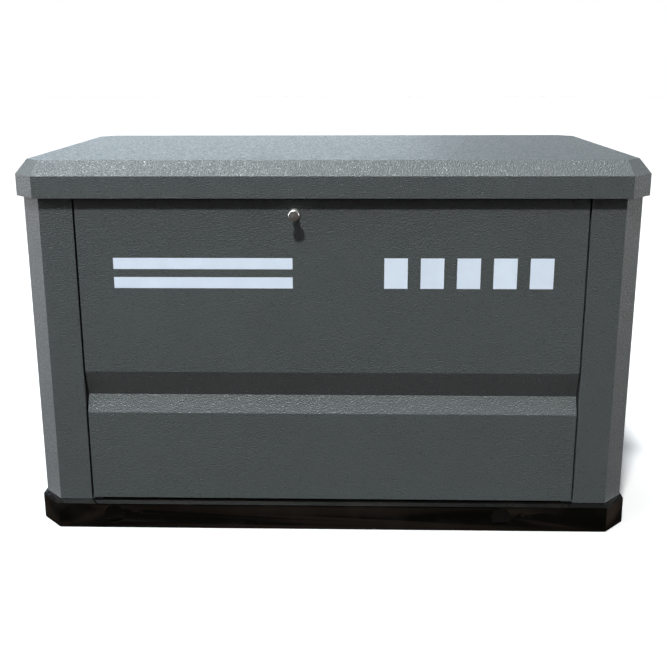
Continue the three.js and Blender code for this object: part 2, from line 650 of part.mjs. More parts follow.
function makeExhaust() {
  const port = (sx, sy) => [ENGINE.x + sx * STAGGER + 68, ENGINE.y + sy * 134, ENGINE.z + 134];
  const [fx, fy, fz] = port(-1, -1);
  const [rx, ry, rz] = port(1, 1);
  const z = MUFFLER.z;
  const inlet = MUFFLER.x - MUFFLER.radius - 3;
  const meet = [260, 108, z];
  const frontStart = [[fx, fy, fz], [fx + 45, fy, fz + 6], [fx + 130, fy + 45, z - 15]];
  const rearStart = [[rx, ry, rz], [rx + 40, ry, rz + 6], [rx + 110, ry - 20, z - 15]];
  const frontPipe = tube([...frontStart, [60, 20, z], [200, 92, z], meet], 17, 13);
  const rearPipe = tube([...rearStart, [100, 118, z], [200, 110, z], meet], 17, 11);
  const flange = ([x, y, zz]) => bar("x", 28, x, x + 8, y, zz, 6);
  const pipes = join(
    frontPipe,
    rearPipe,
    bar("x", 21, 235, inlet, 108, z, 20),
    bar("x", 32, inlet - 10, inlet, 108, z, 20),
    flange([fx, fy, fz]),
    flange([rx, ry, rz]),
  );
  part(root, "exhaust_manifold", pipes, M.exhaustSteel);
  const { x, y, radius, halfLength } = MUFFLER;
  const cap = (from, to, r1, r2) => bar("y", r1, from, to, x, z, 24, r2);
  const tail = bar("x", 19, x + radius - 10, x + radius + 36, y + 90, z, 20);
  const foot = BASE.height + GAP;
  const stand = both((s) => [
    box(x + s * 60 - 2, x + s * 60 + 2, y - 66, y + 66, foot, z - 50),
    box(x + s * 60 - 18, x + s * 60 + 18, y - 66, y + 66, foot, foot + 3),
  ]);
  const muffler = cut(
    join(
      cap(y - halfLength, y - halfLength + 14, radius - 12, radius),
      cap(y - halfLength + 13, y + halfLength - 13, radius, radius),
      cap(y + halfLength - 14, y + halfLength, radius, radius - 12),
      tail,
      stand,
    ),
    bar("x", 16.5, x + radius - 6, x + radius + 40, y + 90, z, 20),
  );
  part(root, "muffler", muffler, M.exhaustSteel);
  const corner = [[SHIELD.x, SHIELD.rear], [SHIELD.x, SHIELD.y], [SHIELD.side, SHIELD.y]];
  const wall = prism("z", folded(corner), foot, SHIELD.top);
  const doorway = box(SHIELD.x - 5, SHIELD.x + 5, 66, 150, z - 42, z + 42);
  part(root, "heat_shield", cut(wall, doorway), M.zinc);
}

function makeGasTrain() {
  const { x, inletZ, inletEnd, regulatorZ, regulatorRadius } = GAS;
  const inlet = join(
    bar("y", 13, 256, inletEnd, x, inletZ, 20),
    bar("y", 24, BODY.halfD + GAP, BODY.halfD + 4, x, inletZ, 20),
    box(x - 20, x + 20, 214, 257, inletZ - 20, inletZ + 20),
    bar("z", 12, inletZ + 19, regulatorZ - regulatorRadius - GAP, x, 230, 16),
  );
  const pipeBore = bar("y", 10.5, 262, inletEnd + 1, x, inletZ, 20);
  const stemBore = bar("y", 5, 200, 226, x, inletZ, 12);
  const bored = cut(inlet, pipeBore, stemBore);
  part(root, "gas_inlet_valve", bored, M.brass);
  const lever = groupAt(root, x, 0, inletZ);
  const handle = join(
    bar("y", 4.2, 190, 225, 0, 0, 12),
    bar("y", 10, 192, 198, 0, 0, 16),
    box(-72, 0, 193, 197, -8, 8),
  );
  part(lever, "gas_valve_lever", handle, M.red);
  const disc = (from, to, r, r2 = r) => bar("y", r, from, to, x, regulatorZ, 24, r2);
  const regulator = join(
    disc(206, 222, regulatorRadius - 14, regulatorRadius),
    disc(221, 240, regulatorRadius),
    disc(239, 256, regulatorRadius, regulatorRadius - 10),
    disc(196, 207, 16),
    bar("z", 13, regulatorZ + regulatorRadius - 8, regulatorZ + regulatorRadius + 16, x, 230, 16),
    box(x - 16, x + 16, 222, 246, regulatorZ - regulatorRadius, regulatorZ),
  );
  part(root, "gas_regulator", regulator, M.castAluminium);
  const from = regulatorZ + regulatorRadius + 17;
  const port = [ENGINE.x + 47, ENGINE.y, ENGINE.z + 243];
  const rise = [[x, 230, from], [x, 230, from + 40], [x - 4, 228, 400], [x - 30, 222, 490]];
  const across = [[120, 180, 516], [-30, 110, 516], [-110, 50, 492]];
  const line = [...rise, ...across, [port[0] + 22, port[1], port[2]], port];
  part(root, "gas_hose", tube(line, 10, 26), M.rubber);
}

function makeBattery() {
  const { x, halfW, y, halfD, top, postX, postY } = BATTERY;
  const body = join(
    box(x - halfW, x + halfW, y - halfD, y + halfD, BASE.height + GAP, top - 22),
    box(x - halfW - 2, x + halfW + 2, y - halfD - 2, y + halfD + 2, top - 23, top - 6),
    box(x - halfW + 8, x + halfW - 8, y - halfD + 8, y + halfD - 8, top - 7, top),
    both((s) => bar("z", 9, top - 1, top + 16, x + s * postX, postY, 16, 8)),
  );
  part(root, "battery", body, M.plastic);
  const clampZ = top + 24;
  const starterEnd = [ENGINE.x - 16, ENGINE.y - 152, ENGINE.z + 16];
  const run = [
    [x - postX, postY, clampZ],
    [x - postX - 20, postY - 20, clampZ + 12],
    [323, -205, 225],
    [300, -215, 110],
    [220, -212, 70],
    [40, -205, 66],
    [-120, -205, 66],
    [-190, -205, 75],
    [-208, -190, 140],
    [-202, -150, 220],
    [starterEnd[0] + 25, starterEnd[1] - 6, starterEnd[2] - 2],
    starterEnd,
  ];
  const clamp = bar("z", 13, top + 17, clampZ + 6, x - postX, postY, 16);
  part(root, "battery_cable_positive", join(tube(run, 6, 30, 6), clamp), M.red);
  const ground = [
    [x + postX, postY, clampZ],
    [x + postX - 10, postY - 30, clampZ + 12],
    [x + 12, -240, clampZ + 9],
    [362, -262, clampZ + 3],
    [326, -264, 230],
    [320, -250, 150],
    [300, -240, 75],
    [290, -200, 62],
    [290, -160, 62],
  ];
  const groundClamp = bar("z", 13, top + 17, clampZ + 6, x + postX, postY, 16);
  part(root, "battery_cable_negative", join(tube(ground, 6, 24, 6), groundClamp), M.rubber);
}

function makeControls() {
  const { x, halfW, front, back, low, brow, high, rim } = CONTROL;
  const outer = [[front, low], [front, brow], [rim, high], [back, high], [back, low]];
  const innerFront = [[front + 2, low + 2], [front + 2, brow - 1], [rim + 1, high - 2]];
  const inner = [...innerFront, [back - 2, high - 2], [back - 2, low + 2]];
  const slope = Math.atan2(high - brow, rim - front);
  const length = Math.hypot(high - brow, rim - front);
  const desk = groupAt(root, x, front, brow, slope);
  const window = new THREE.Matrix4().makeRotationX(slope).setPosition(x, front, brow);
  const opening = box(-128, 128, 18, length - 18, -6, 6).applyMatrix4(window);
  const shell = cut(
    prism("x", outer, x - halfW, x + halfW),
    prism("x", inner, x - halfW + 2, x + halfW - 2),
    opening,
    box(x - 20, x + 20, -160, -120, low - 1, low + 3),
  );
  const hangers = both((s) => {
    const middle = x + s * (halfW - 1);
    return box(middle - 1, middle + 1, -274.5, -240, brow, 706);
  });
  part(root, "control_box", join(shell, hangers), M.powderCoat);
  const buttons = [["auto", 22, M.green], ["off", 52, M.grey], ["manual", 82, M.red]];
  const buttonX = -10;
  const screen = join(box(-122, -34, 52, 118, 0, 5.5), box(-120, -36, 54, 116, -8, 4));
  const fascia = cut(
    join(box(-140, 140, 8, length - 8, GAP, 3.5), screen),
    box(-116, -40, 58, 112, 4.3, 6),
    buttons.map(([, u]) => bar("z", 10, -2, 6, buttonX, 30 + u, 20)),
    box(62, 94, 58, 112, -2, 6),
  );
  part(desk, "control_fascia", fascia, M.plastic);
  for (const [name, u, material] of buttons) {
    const cap = join(bar("z", 9.3, -7, 5.5, buttonX, 30 + u, 20), bar("z", 8, 5, 6.5, buttonX, 30 + u, 20));
    part(desk, `button_${name}`, cap, material);
  }
  const breaker = cut(box(54, 102, 40, 130, -62, -GAP), box(69, 87, 62, 108, -34, 1));
  part(desk, "breaker_body", breaker, M.plastic);
  const pivot = groupAt(desk, 78, 85, -12, -0.35);
  part(pivot, "breaker_lever", join(bar("x", 7, -7, 7, 0, 0, 16), box(-7, 7, -5, 5, 0, 32)), M.grey);
  const harness = [
    [x, -140, low - 1],
    [x, -142, low - 40],
    [x - 5, -160, 420],
    [x - 30, -150, 330],
    [x - 50, -125, 262],
    [x - 58, -100, 245],
    [x - 60, -88, 244],
  ];
  part(root, "alternator_harness", tube(harness, 11, 14), M.rubber);
}

makeBase();
makePosts();
makeSidePanels();
makeRearPanel();
makeTopRail();
makeFrontPanel();
makeLatch();
makeLid();
makeHinge();
makePropRod();
makeCradle();
makeCrankcase();
makeOilParts();
makeCylinders();
makeBlower();
makeCrankshaft();
makeAlternator();
makeStarter();
makeIntake();
makeAirCleaner();
makeExhaust();
makeGasTrain();
makeBattery();
makeControls();

export default root;
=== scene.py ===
"""Home standby generator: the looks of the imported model, in metres, in the model's own frame."""
import json
import math

import bmesh
import bpy
from mathutils import Matrix, Vector


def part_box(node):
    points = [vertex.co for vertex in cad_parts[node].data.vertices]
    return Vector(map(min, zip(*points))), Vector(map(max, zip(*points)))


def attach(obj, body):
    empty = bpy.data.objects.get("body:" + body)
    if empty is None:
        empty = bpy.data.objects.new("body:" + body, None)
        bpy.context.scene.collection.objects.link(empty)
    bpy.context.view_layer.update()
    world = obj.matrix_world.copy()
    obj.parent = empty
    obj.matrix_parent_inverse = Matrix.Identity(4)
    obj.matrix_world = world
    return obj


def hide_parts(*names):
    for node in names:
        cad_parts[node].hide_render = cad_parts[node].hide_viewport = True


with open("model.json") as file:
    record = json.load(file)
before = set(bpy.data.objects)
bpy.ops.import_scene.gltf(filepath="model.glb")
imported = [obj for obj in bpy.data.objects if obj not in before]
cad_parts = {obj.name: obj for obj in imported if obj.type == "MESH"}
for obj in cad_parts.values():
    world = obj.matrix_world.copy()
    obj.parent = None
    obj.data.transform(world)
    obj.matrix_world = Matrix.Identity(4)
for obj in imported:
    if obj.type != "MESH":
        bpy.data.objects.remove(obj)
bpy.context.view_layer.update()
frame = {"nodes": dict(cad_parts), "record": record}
NODES = frame["nodes"]
MM = 0.001


def box(node):
    """A CAD node's lowest and highest corners, in millimetres."""
    low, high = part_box(node)
    return low / MM, high / MM


# ---------------------------------------------------------------- materials


class Shader:
    """A material's node tree, with short calls for the nodes used here."""

    def __init__(self, name, color, rough, metal=0.0, **sockets):
        self.material = bpy.data.materials.new(name)
        self.material.use_nodes = True
        self.material.diffuse_color = (*color, 1)
        self.tree = self.material.node_tree
        self.bsdf = self.tree.nodes["Principled BSDF"]
        self.set("Base Color", (*color, 1))
        self.set("Roughness", rough)
        self.set("Metallic", metal)
        for socket, value in sockets.items():
            self.set(socket.replace("_", " "), value)
        self.coords = self.node("ShaderNodeTexCoord").outputs["Object"]
        self.color = color
        self.rough = rough
        self.height = None

    def set(self, socket, value):
        self.bsdf.inputs[socket].default_value = value

    def node(self, kind, **values):
        made = self.tree.nodes.new(kind)
        for key, value in values.items():
            setattr(made, key, value)
        return made

    def link(self, a, b):
        self.tree.links.new(a, b)

    def noise(self, size_mm, detail=2.0, stretch=(1, 1, 1), rough=0.5):
        """Noise whose lumps are about size_mm across."""
        mapping = self.node("ShaderNodeMapping")
        mapping.inputs["Scale"].default_value = [1 / s for s in stretch]
        self.link(self.coords, mapping.inputs["Vector"])
        made = self.node("ShaderNodeTexNoise")
        made.inputs["Scale"].default_value = 1 / (size_mm * MM)
        made.inputs["Detail"].default_value = detail
        made.inputs["Roughness"].default_value = rough
        self.link(mapping.outputs["Vector"], made.inputs["Vector"])
        return made.outputs["Fac"]

    def cells(self, size_mm, feature="F1", randomness=1.0, stretch=(1, 1, 1)):
        mapping = self.node("ShaderNodeMapping")
        mapping.inputs["Scale"].default_value = [1 / s for s in stretch]
        self.link(self.coords, mapping.inputs["Vector"])
        made = self.node("ShaderNodeTexVoronoi", feature=feature)
        made.inputs["Scale"].default_value = 1 / (size_mm * MM)
        made.inputs["Randomness"].default_value = randomness
        self.link(mapping.outputs["Vector"], made.inputs["Vector"])
        return made

    def ramp(self, value, low, high, start=0.0, end=1.0):
        """value mapped from low..high to start..end, and kept inside that."""
        made = self.node("ShaderNodeMapRange")
        for socket, number in (("From Min", low), ("From Max", high), ("To Min", start), ("To Max", end)):
            made.inputs[socket].default_value = number
        self.link(value, made.inputs["Value"])
        return made.outputs["Result"]

    def mix(self, factor, a, b):
        """Colours a and b (or sockets) mixed by factor."""
        made = self.node("ShaderNodeMix", data_type="RGBA")
        self.link(factor, made.inputs[0])
        for index, value in ((6, a), (7, b)):
            if isinstance(value, tuple):
                made.inputs[index].default_value = (*value, 1)
            else:
                self.link(value, made.inputs[index])
        return made.outputs[2]

    def paint(self, socket):
        """The base colour comes from this socket."""
        self.link(socket, self.bsdf.inputs["Base Color"])
        return self

    def vary(self, factor, low, high):
        """The base colour runs between low and high times itself by factor."""
        dark = tuple(c * low for c in self.color)
        light = tuple(min(1, c * high) for c in self.color)
        return self.paint(self.mix(factor, dark, light))

    def gloss(self, factor, low, high):
        """The roughness runs from low to high by factor."""
        self.link(self.ramp(factor, 0.3, 0.7, low, high), self.bsdf.inputs["Roughness"])
        return self

    def bump(self, height, depth_mm, strength=1.0):
        """Adds a bump whose full range is depth_mm."""
        made = self.node("ShaderNodeBump")
        made.inputs["Strength"].default_value = strength
        made.inputs["Distance"].default_value = depth_mm * MM
        self.link(height, made.inputs["Height"])
        if self.height:
            self.link(self.height, made.inputs["Normal"])
        self.height = made.outputs["Normal"]
        self.link(self.height, self.bsdf.inputs["Normal"])
        return self


def powder_coat(name="powder_coat", color=(0.060, 0.070, 0.071)):
    """Textured powder coat: small lumps whose gloss varies. The lumps' tops are painted lighter and sparse
    bright flecks are painted on, as painted highlights of the coat's sparkle.
    """
    s = Shader(name, color, 0.5, 0.0, Specular_IOR_Level=0.55)
    lumps = s.noise(2.5, 1.0)
    cloud = s.ramp(s.noise(140, 3.0), 0.3, 0.7)
    # Lighter where the lumps stand up: a painted highlight on the lumps' tops.
    base = s.mix(s.ramp(lumps, 0.38, 0.62), tuple(c * 0.86 for c in color), tuple(c * 1.13 for c in color))
    clouded = s.mix(cloud, base, tuple(c * 1.06 for c in color))
    # Sparse dots three times as bright as the coat: painted glints of its sparkle.
    cells = s.cells(7.5)
    pick = s.node("ShaderNodeRGBToBW")
    s.link(cells.outputs["Color"], pick.inputs[0])
    dot = s.ramp(cells.outputs["Distance"], 0.10, 0.17, 1.0, 0.0)
    chosen = s.ramp(pick.outputs[0], 0.52, 0.72, 0.0, 1.0)
    painted_glints = s.node("ShaderNodeMath", operation="MULTIPLY")
    s.link(dot, painted_glints.inputs[0])
    s.link(chosen, painted_glints.inputs[1])
    s.paint(s.mix(painted_glints.outputs[0], clouded, tuple(c * 3.0 for c in color)))
    s.gloss(s.noise(4.0, 1.0), 0.27, 0.64)
    s.bump(lumps, 1.6)
    return s.material


def gloss_black():
    """Glossy black stoved enamel with a faint orange peel and a little dust."""
    s = Shader("gloss_black", (0.0025, 0.0025, 0.0023), 0.08, 0.0, Specular_IOR_Level=0.5)
    dust = s.ramp(s.noise(60, 6.0), 0.5, 0.85)
    s.paint(s.mix(dust, (0.0022, 0.0022, 0.0020), (0.008, 0.0072, 0.006)))
    s.gloss(s.noise(9, 4.0), 0.05, 0.14)
    s.bump(s.noise(7, 1.0), 0.05)
    return s.material


def plated(name, color, rough, tint=None, cell=9):
    """Bright plating: zinc spangle or satin nickel."""
    s = Shader(name, color, rough, 1.0)
    tone = s.cells(cell).outputs["Color"]
    grey = s.node("ShaderNodeRGBToBW")
    s.link(tone, grey.inputs[0])
    warm = tint or tuple(c * 0.86 for c in color)
    s.paint(s.mix(s.ramp(grey.outputs[0], 0.2, 0.8), color, warm))
    s.gloss(s.noise(3, 4.0), rough * 0.75, rough * 1.3)
    s.bump(s.noise(1.2, 3.0), 0.015)
    return s.material


def cast(name, color, rough=0.5, metal=0.85):
    """Sand-cast metal: grainy, with darker stains."""
    s = Shader(name, color, rough, metal)
    stain = s.ramp(s.noise(28, 6.0), 0.4, 0.75)
    s.paint(s.mix(stain, color, tuple(c * 0.6 for c in color)))
    s.gloss(s.noise(6, 4.0), rough * 0.8, min(1, rough * 1.35))
    s.bump(s.noise(1.4, 4.0, rough=0.7), 0.22)
    return s.material


def enamel(name, color, rough=0.38):
    """Sprayed enamel on metal: slight orange peel, chips and dust."""
    s = Shader(name, color, rough, 0.0, Coat_Weight=0.25, Coat_Roughness=0.2)
    s.vary(s.ramp(s.noise(35, 6.0), 0.35, 0.75), 0.85, 1.5)
    s.gloss(s.noise(8, 3.0), rough * 0.75, rough * 1.4)
    s.bump(s.noise(3, 2.0), 0.05)
    return s.material


def machined(name, color, rough=0.28, stretch=(0.06, 1, 1)):
    """Turned or ground metal with fine marks."""
    s = Shader(name, color, rough, 1.0, Anisotropic=0.4)
    marks = s.noise(1.2, 3.0, stretch=stretch)
    s.vary(marks, 0.8, 1.12)
    s.gloss(s.noise(9, 4.0), rough * 0.7, rough * 1.5)
    s.bump(marks, 0.012)
    return s.material


def hot_steel():
    """Exhaust steel, straw and blue where it gets hot, with a dusting of rust."""
    s = Shader("exhaust_steel", (0.33, 0.30, 0.27), 0.42, 0.9)
    heat = s.ramp(s.noise(120, 3.0), 0.35, 0.65)
    straw = s.mix(heat, (0.36, 0.29, 0.20), (0.22, 0.21, 0.25))
    rust = s.ramp(s.noise(14, 8.0), 0.62, 0.78)
    s.paint(s.mix(rust, straw, (0.17, 0.075, 0.035)))
    s.gloss(s.noise(10, 6.0), 0.34, 0.62)
    s.bump(s.noise(2.2, 5.0, rough=0.7), 0.10)
    return s.material


def rubber(name="rubber", color=(0.018, 0.018, 0.018), rough=0.62):
    s = Shader(name, color, rough, 0.0, Specular_IOR_Level=0.35)
    s.vary(s.ramp(s.noise(20, 6.0), 0.3, 0.75), 0.8, 1.7)
    s.gloss(s.noise(6, 3.0), rough * 0.85, min(1, rough * 1.25))
    s.bump(s.noise(0.9, 3.0), 0.06)
    return s.material


def foam(name="foam", color=(0.020, 0.021, 0.023)):
    """Open-cell acoustic foam."""
    s = Shader(name, color, 0.95, 0.0, Specular_IOR_Level=0.15, Sheen_Weight=0.25)
    pores = s.cells(2.2).outputs["Distance"]
    # Darker in the sunken pits of the pores: painted shade.
    s.vary(s.ramp(pores, 0.1, 0.6), 0.5, 1.7)
    s.bump(pores, 0.8)
    s.bump(s.noise(9, 3.0), 0.8)
    return s.material


def plastic(name, color, rough=0.45, grain=1.1, depth=0.05):
    """Moulded plastic with a spark-eroded grain."""
    s = Shader(name, color, rough, 0.0)
    s.vary(s.ramp(s.noise(50, 4.0), 0.3, 0.7), 0.92, 1.12)
    s.gloss(s.noise(5, 3.0), rough * 0.85, min(1, rough * 1.2))
    s.bump(s.noise(grain, 2.0), depth)
    return s.material


def windings():
    """Varnished copper wire laid side by side."""
    s = Shader("copper_windings", (0.45, 0.16, 0.06), 0.3, 0.9, Coat_Weight=0.6, Coat_Roughness=0.1)
    wave = s.node("ShaderNodeTexWave", bands_direction="Z")
    wave.inputs["Scale"].default_value = 210
    wave.inputs["Distortion"].default_value = 1.5
    s.link(s.coords, wave.inputs["Vector"])
    # Darker in the grooves between the turns: painted shade.
    s.vary(wave.outputs["Fac"], 0.45, 1.2)
    s.bump(wave.outputs["Fac"], 0.5)
    return s.material


def laminations():
    """A stack of thin steel sheets seen edge on."""
    s = Shader("laminations", (0.23, 0.22, 0.22), 0.45, 0.85)
    wave = s.node("ShaderNodeTexWave", bands_direction="X")
    wave.inputs["Scale"].default_value = 160
    s.link(s.coords, wave.inputs["Vector"])
    s.vary(wave.outputs["Fac"], 0.55, 1.15)
    s.bump(wave.outputs["Fac"], 0.2)
    return s.material


def paper():
    """Pleated filter paper."""
    s = Shader("filter_paper", (0.62, 0.52, 0.32), 0.85, 0.0)
    s.vary(s.noise(6, 5.0), 0.8, 1.1)
    s.bump(s.noise(1.0, 3.0), 0.1)
    return s.material


def screen():
    """A dark green liquid crystal display behind clear plastic."""
    s = Shader("screen", (0.030, 0.065, 0.040), 0.12, 0.0, Coat_Weight=1.0, Coat_Roughness=0.03)
    cells = s.cells(0.8, randomness=0.0).outputs["Distance"]
    s.vary(s.ramp(cells, 0.1, 0.5), 0.8, 1.2)
    s.gloss(s.noise(20, 3.0), 0.10, 0.18)
    return s.material


def decal(name, color):
    """Satin vinyl, cut from a sheet."""
    s = Shader(name, color, 0.42, 0.0)
    s.vary(s.ramp(s.noise(40, 4.0), 0.3, 0.7), 0.96, 1.03)
    s.bump(s.noise(1.3, 3.0, rough=0.65), 0.05)
    return s.material


MATERIALS = {
    "powder_coat": powder_coat(),
    "gloss_black": gloss_black(),
    "nickel": plated("nickel", (0.58, 0.56, 0.53), 0.40, cell=2),
    "zinc": plated("zinc", (0.50, 0.51, 0.52), 0.36, tint=(0.46, 0.44, 0.37)),
    "cast_aluminium": cast("cast_aluminium", (0.42, 0.43, 0.44)),
    "black_paint": enamel("black_paint", (0.014, 0.014, 0.015)),
    "steel": machined("steel", (0.42, 0.43, 0.44)),
    "copper": laminations(),
    "exhaust_steel": hot_steel(),
    "rubber": rubber(),
    "foam": foam(),
    "plastic": plastic("plastic", (0.022, 0.023, 0.025)),
    "red": plastic("red", (0.42, 0.015, 0.012), 0.4),
    "green": plastic("green", (0.02, 0.22, 0.06), 0.4),
    "grey": plastic("grey", (0.28, 0.30, 0.31), 0.4),
    "brass": machined("brass", (0.62, 0.42, 0.16), 0.3),
}
EXTRA = {
    "windings": windings(),
    "paper": paper(),
    "screen": screen(),
    "decal": decal("decal_white", (0.70, 0.80, 0.92)),
    "decal_grey": decal("decal_grey", (0.34, 0.37, 0.40)),
    "clear_case": plastic("battery_case", (0.10, 0.10, 0.105), 0.35),
    "ceramic": plastic("ceramic", (0.75, 0.74, 0.70), 0.25, 2.0, 0.02),
    "yellow": plastic("yellow", (0.70, 0.42, 0.02), 0.4),
    "seal": rubber("seal", (0.010, 0.010, 0.010), 0.7),
    "lamp_green": plastic("lamp_green", (0.03, 0.60, 0.12), 0.15),
    "lamp_red": plastic("lamp_red", (0.60, 0.03, 0.02), 0.15),
}


def material(name):
    return MATERIALS.get(name) or EXTRA[name]


# ---------------------------------------------------------------- modelling


def smooth_by_angle(degrees):
    """A node group that shades faces smooth, and edges over an angle sharp."""
    group = bpy.data.node_groups.new(f"smooth_by_{degrees}", "GeometryNodeTree")
    group.interface.new_socket("Geometry", in_out="INPUT", socket_type="NodeSocketGeometry")
    group.interface.new_socket("Geometry", in_out="OUTPUT", socket_type="NodeSocketGeometry")
    n = group.nodes
    start, end = n.new("NodeGroupInput"), n.new("NodeGroupOutput")
    faces, edges = n.new("GeometryNodeSetShadeSmooth"), n.new("GeometryNodeSetShadeSmooth")
    faces.domain, edges.domain = "FACE", "EDGE"
    edges.inputs["Shade Smooth"].default_value = False
    angle, compare = n.new("GeometryNodeInputMeshEdgeAngle"), n.new("FunctionNodeCompare")
    compare.operation = "GREATER_THAN"
    compare.inputs[1].default_value = math.radians(degrees)
    links = group.links
    links.new(start.outputs[0], faces.inputs["Geometry"])
    links.new(faces.outputs[0], edges.inputs["Geometry"])
    links.new(angle.outputs[0], compare.inputs[0])
    links.new(compare.outputs[0], edges.inputs["Selection"])
    links.new(edges.outputs[0], end.inputs[0])
    return group


ROUND_ANGLE = 32
FOLD_ANGLE = 8
CABLE_ANGLE = 70
SMOOTH = {angle: smooth_by_angle(angle) for angle in (ROUND_ANGLE, FOLD_ANGLE, CABLE_ANGLE)}


def refine(obj, bevel_mm=0.0, segments=2, angle=ROUND_ANGLE, weld=True):
    """Merges the vertices, rounds the sharp edges and sets the shading."""
    if weld:
        made = obj.modifiers.new("weld", "WELD")
        made.merge_threshold = 0.00002
    if bevel_mm:
        made = obj.modifiers.new("bevel", "BEVEL")
        made.width = bevel_mm * MM
        made.segments = segments
        made.limit_method = "ANGLE"
        made.angle_limit = math.radians(angle)
        made.use_clamp_overlap = True
        made.harden_normals = False
    made = obj.modifiers.new("smooth", "NODES")
    made.node_group = SMOOTH[angle]
    return obj


def piece(name, mesh, body, slot, look=None, bevel_mm=0.0, segments=2):
    """A finished mesh (in millimetres) as a piece of the object on a body."""
    mesh.transform(Matrix.Scale(MM, 4))
    obj = bpy.data.objects.new(name, mesh)
    bpy.context.scene.collection.objects.link(obj)
    mesh.materials.clear()
    mesh.materials.append(material(look or slot))
    refine(obj, bevel_mm, segments, weld=False)
    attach(obj, body)
    return obj


class Build:
    """Many simple solids gathered in one mesh, in millimetres."""

    def __init__(self):
        self.bm = bmesh.new()

    def _place(self, verts, matrix):
        bmesh.ops.transform(self.bm, matrix=matrix, verts=verts)
        return self

    def block(self, low, high, matrix=None):
        low, high = Vector(low), Vector(high)
        made = bmesh.ops.create_cube(self.bm, size=1)["verts"]
        scale = Matrix.Diagonal((*(high - low), 1))
        return self._place(made, (matrix or Matrix()) @ Matrix.Translation((low + high) / 2) @ scale)

    def round(self, at, axis, radius, length, sides=24, top=None):
        """A bar from at along axis, with a flat end of another radius if top is given."""
        end = radius if top is None else top
        made = bmesh.ops.create_cone(
            self.bm, cap_ends=True, segments=sides, radius1=radius, radius2=end, depth=length
        )["verts"]
        turn = Vector(axis).to_track_quat("Z", "Y").to_matrix().to_4x4()
        return self._place(made, Matrix.Translation(at) @ turn @ Matrix.Translation((0, 0, length / 2)))

    def ball(self, at, radius, squash=1.0, axis=(0, 0, 1)):
        made = bmesh.ops.create_uvsphere(self.bm, u_segments=16, v_segments=10, radius=radius)["verts"]
        turn = Vector(axis).to_track_quat("Z", "Y").to_matrix().to_4x4()
        return self._place(made, Matrix.Translation(at) @ turn @ Matrix.Diagonal((1, 1, squash, 1)))

    def lathe(self, at, axis, profile, sides=32):
        """[along, radius] pairs turned about axis at a point."""
        rings = []
        turn = Vector(axis).to_track_quat("Z", "Y").to_matrix().to_4x4()
        matrix = Matrix.Translation(at) @ turn
        for along, radius in profile:
            if radius < 1e-6:
                rings.append([self.bm.verts.new(matrix @ Vector((0, 0, along)))])
                continue
            ring = []
            for i in range(sides):
                a = 2 * math.pi * i / sides
                point = Vector((radius * math.cos(a), radius * math.sin(a), along))
                ring.append(self.bm.verts.new(matrix @ point))
            rings.append(ring)
        for a, b in zip(rings, rings[1:]):
            for i in range(sides):
                j = (i + 1) % sides
                corners = [a[i % len(a)], a[j % len(a)], b[j % len(b)], b[i % len(b)]]
                unique = list(dict.fromkeys(corners))
                if len(unique) > 2:
                    self.bm.faces.new(unique)
        if profile[0] == profile[-1]:
            return self
        for ring, flip in ((rings[0], True), (rings[-1], False)):
            if len(ring) > 2:
                self.bm.faces.new(list(reversed(ring)) if flip else ring)
        return self

    def tube(self, points, radius, sides=12, per_span=6, closed_ends=True):
        """A round tube along a smooth line through points."""
        line = spline(points, per_span)
        rings = []
        side = None
        for i, p in enumerate(line):
            ahead = (line[min(i + 1, len(line) - 1)] - line[max(i - 1, 0)]).normalized()
            if side is None:
                side = ahead.orthogonal().normalized()
            side = (side - ahead * side.dot(ahead)).normalized()
            up = ahead.cross(side)
            ring = []
            for k in range(sides):
                a = 2 * math.pi * k / sides
                r = radius(i / (len(line) - 1)) if callable(radius) else radius
                ring.append(self.bm.verts.new(p + r * (math.cos(a) * side + math.sin(a) * up)))
            rings.append(ring)
        for a, b in zip(rings, rings[1:]):
            for k in range(sides):
                m = (k + 1) % sides
                self.bm.faces.new((a[k], a[m], b[m], b[k]))
        if closed_ends:
            self.bm.faces.new(list(reversed(rings[0])))
            self.bm.faces.new(rings[-1])
        return self

    def prism(self, outline, matrix, depth):
        """An outline in XY, made depth thick along +Z, then placed."""
        base = [self.bm.verts.new(matrix @ Vector((x, y, 0))) for x, y in outline]
        top = [self.bm.verts.new(matrix @ Vector((x, y, depth))) for x, y in outline]
        self.bm.faces.new(list(reversed(base)))
        self.bm.faces.new(top)
        for i in range(len(outline)):
            j = (i + 1) % len(outline)
            self.bm.faces.new((base[i], base[j], top[j], top[i]))
        return self

    def bolt(self, at, axis, size=8.0, washer=True, hexagon=True):
        """A screw head of that spanner size, seated at a point, with axis pointing out of the surface."""
        axis = Vector(axis).normalized()
        at = Vector(at)
        if washer:
            self.round(at - axis * 0.4, axis, size * 0.85, 0.4 + size * 0.14, 24)
        seat = at + axis * (size * 0.13 if washer else -0.2)
        if hexagon:
            self.round(seat, axis, size * 0.577, size * 0.42, 6)
            self.round(seat + axis * size * 0.4, axis, size * 0.44, size * 0.07, 18, top=size * 0.36)
        else:
            self.ball(seat, size * 0.55, 0.5, axis)
        return self

    def mesh(self, name, matrix=None):
        if matrix:
            bmesh.ops.transform(self.bm, matrix=matrix, verts=self.bm.verts)
        bmesh.ops.recalc_face_normals(self.bm, faces=self.bm.faces)
        made = bpy.data.meshes.new(name)
        self.bm.to_mesh(made)
        self.bm.free()
        return made

    def finish(self, name, body, slot, look=None, bevel_mm=0.0, segments=2, matrix=None):
        return piece(name, self.mesh(name, matrix), body, slot, look, bevel_mm, segments)


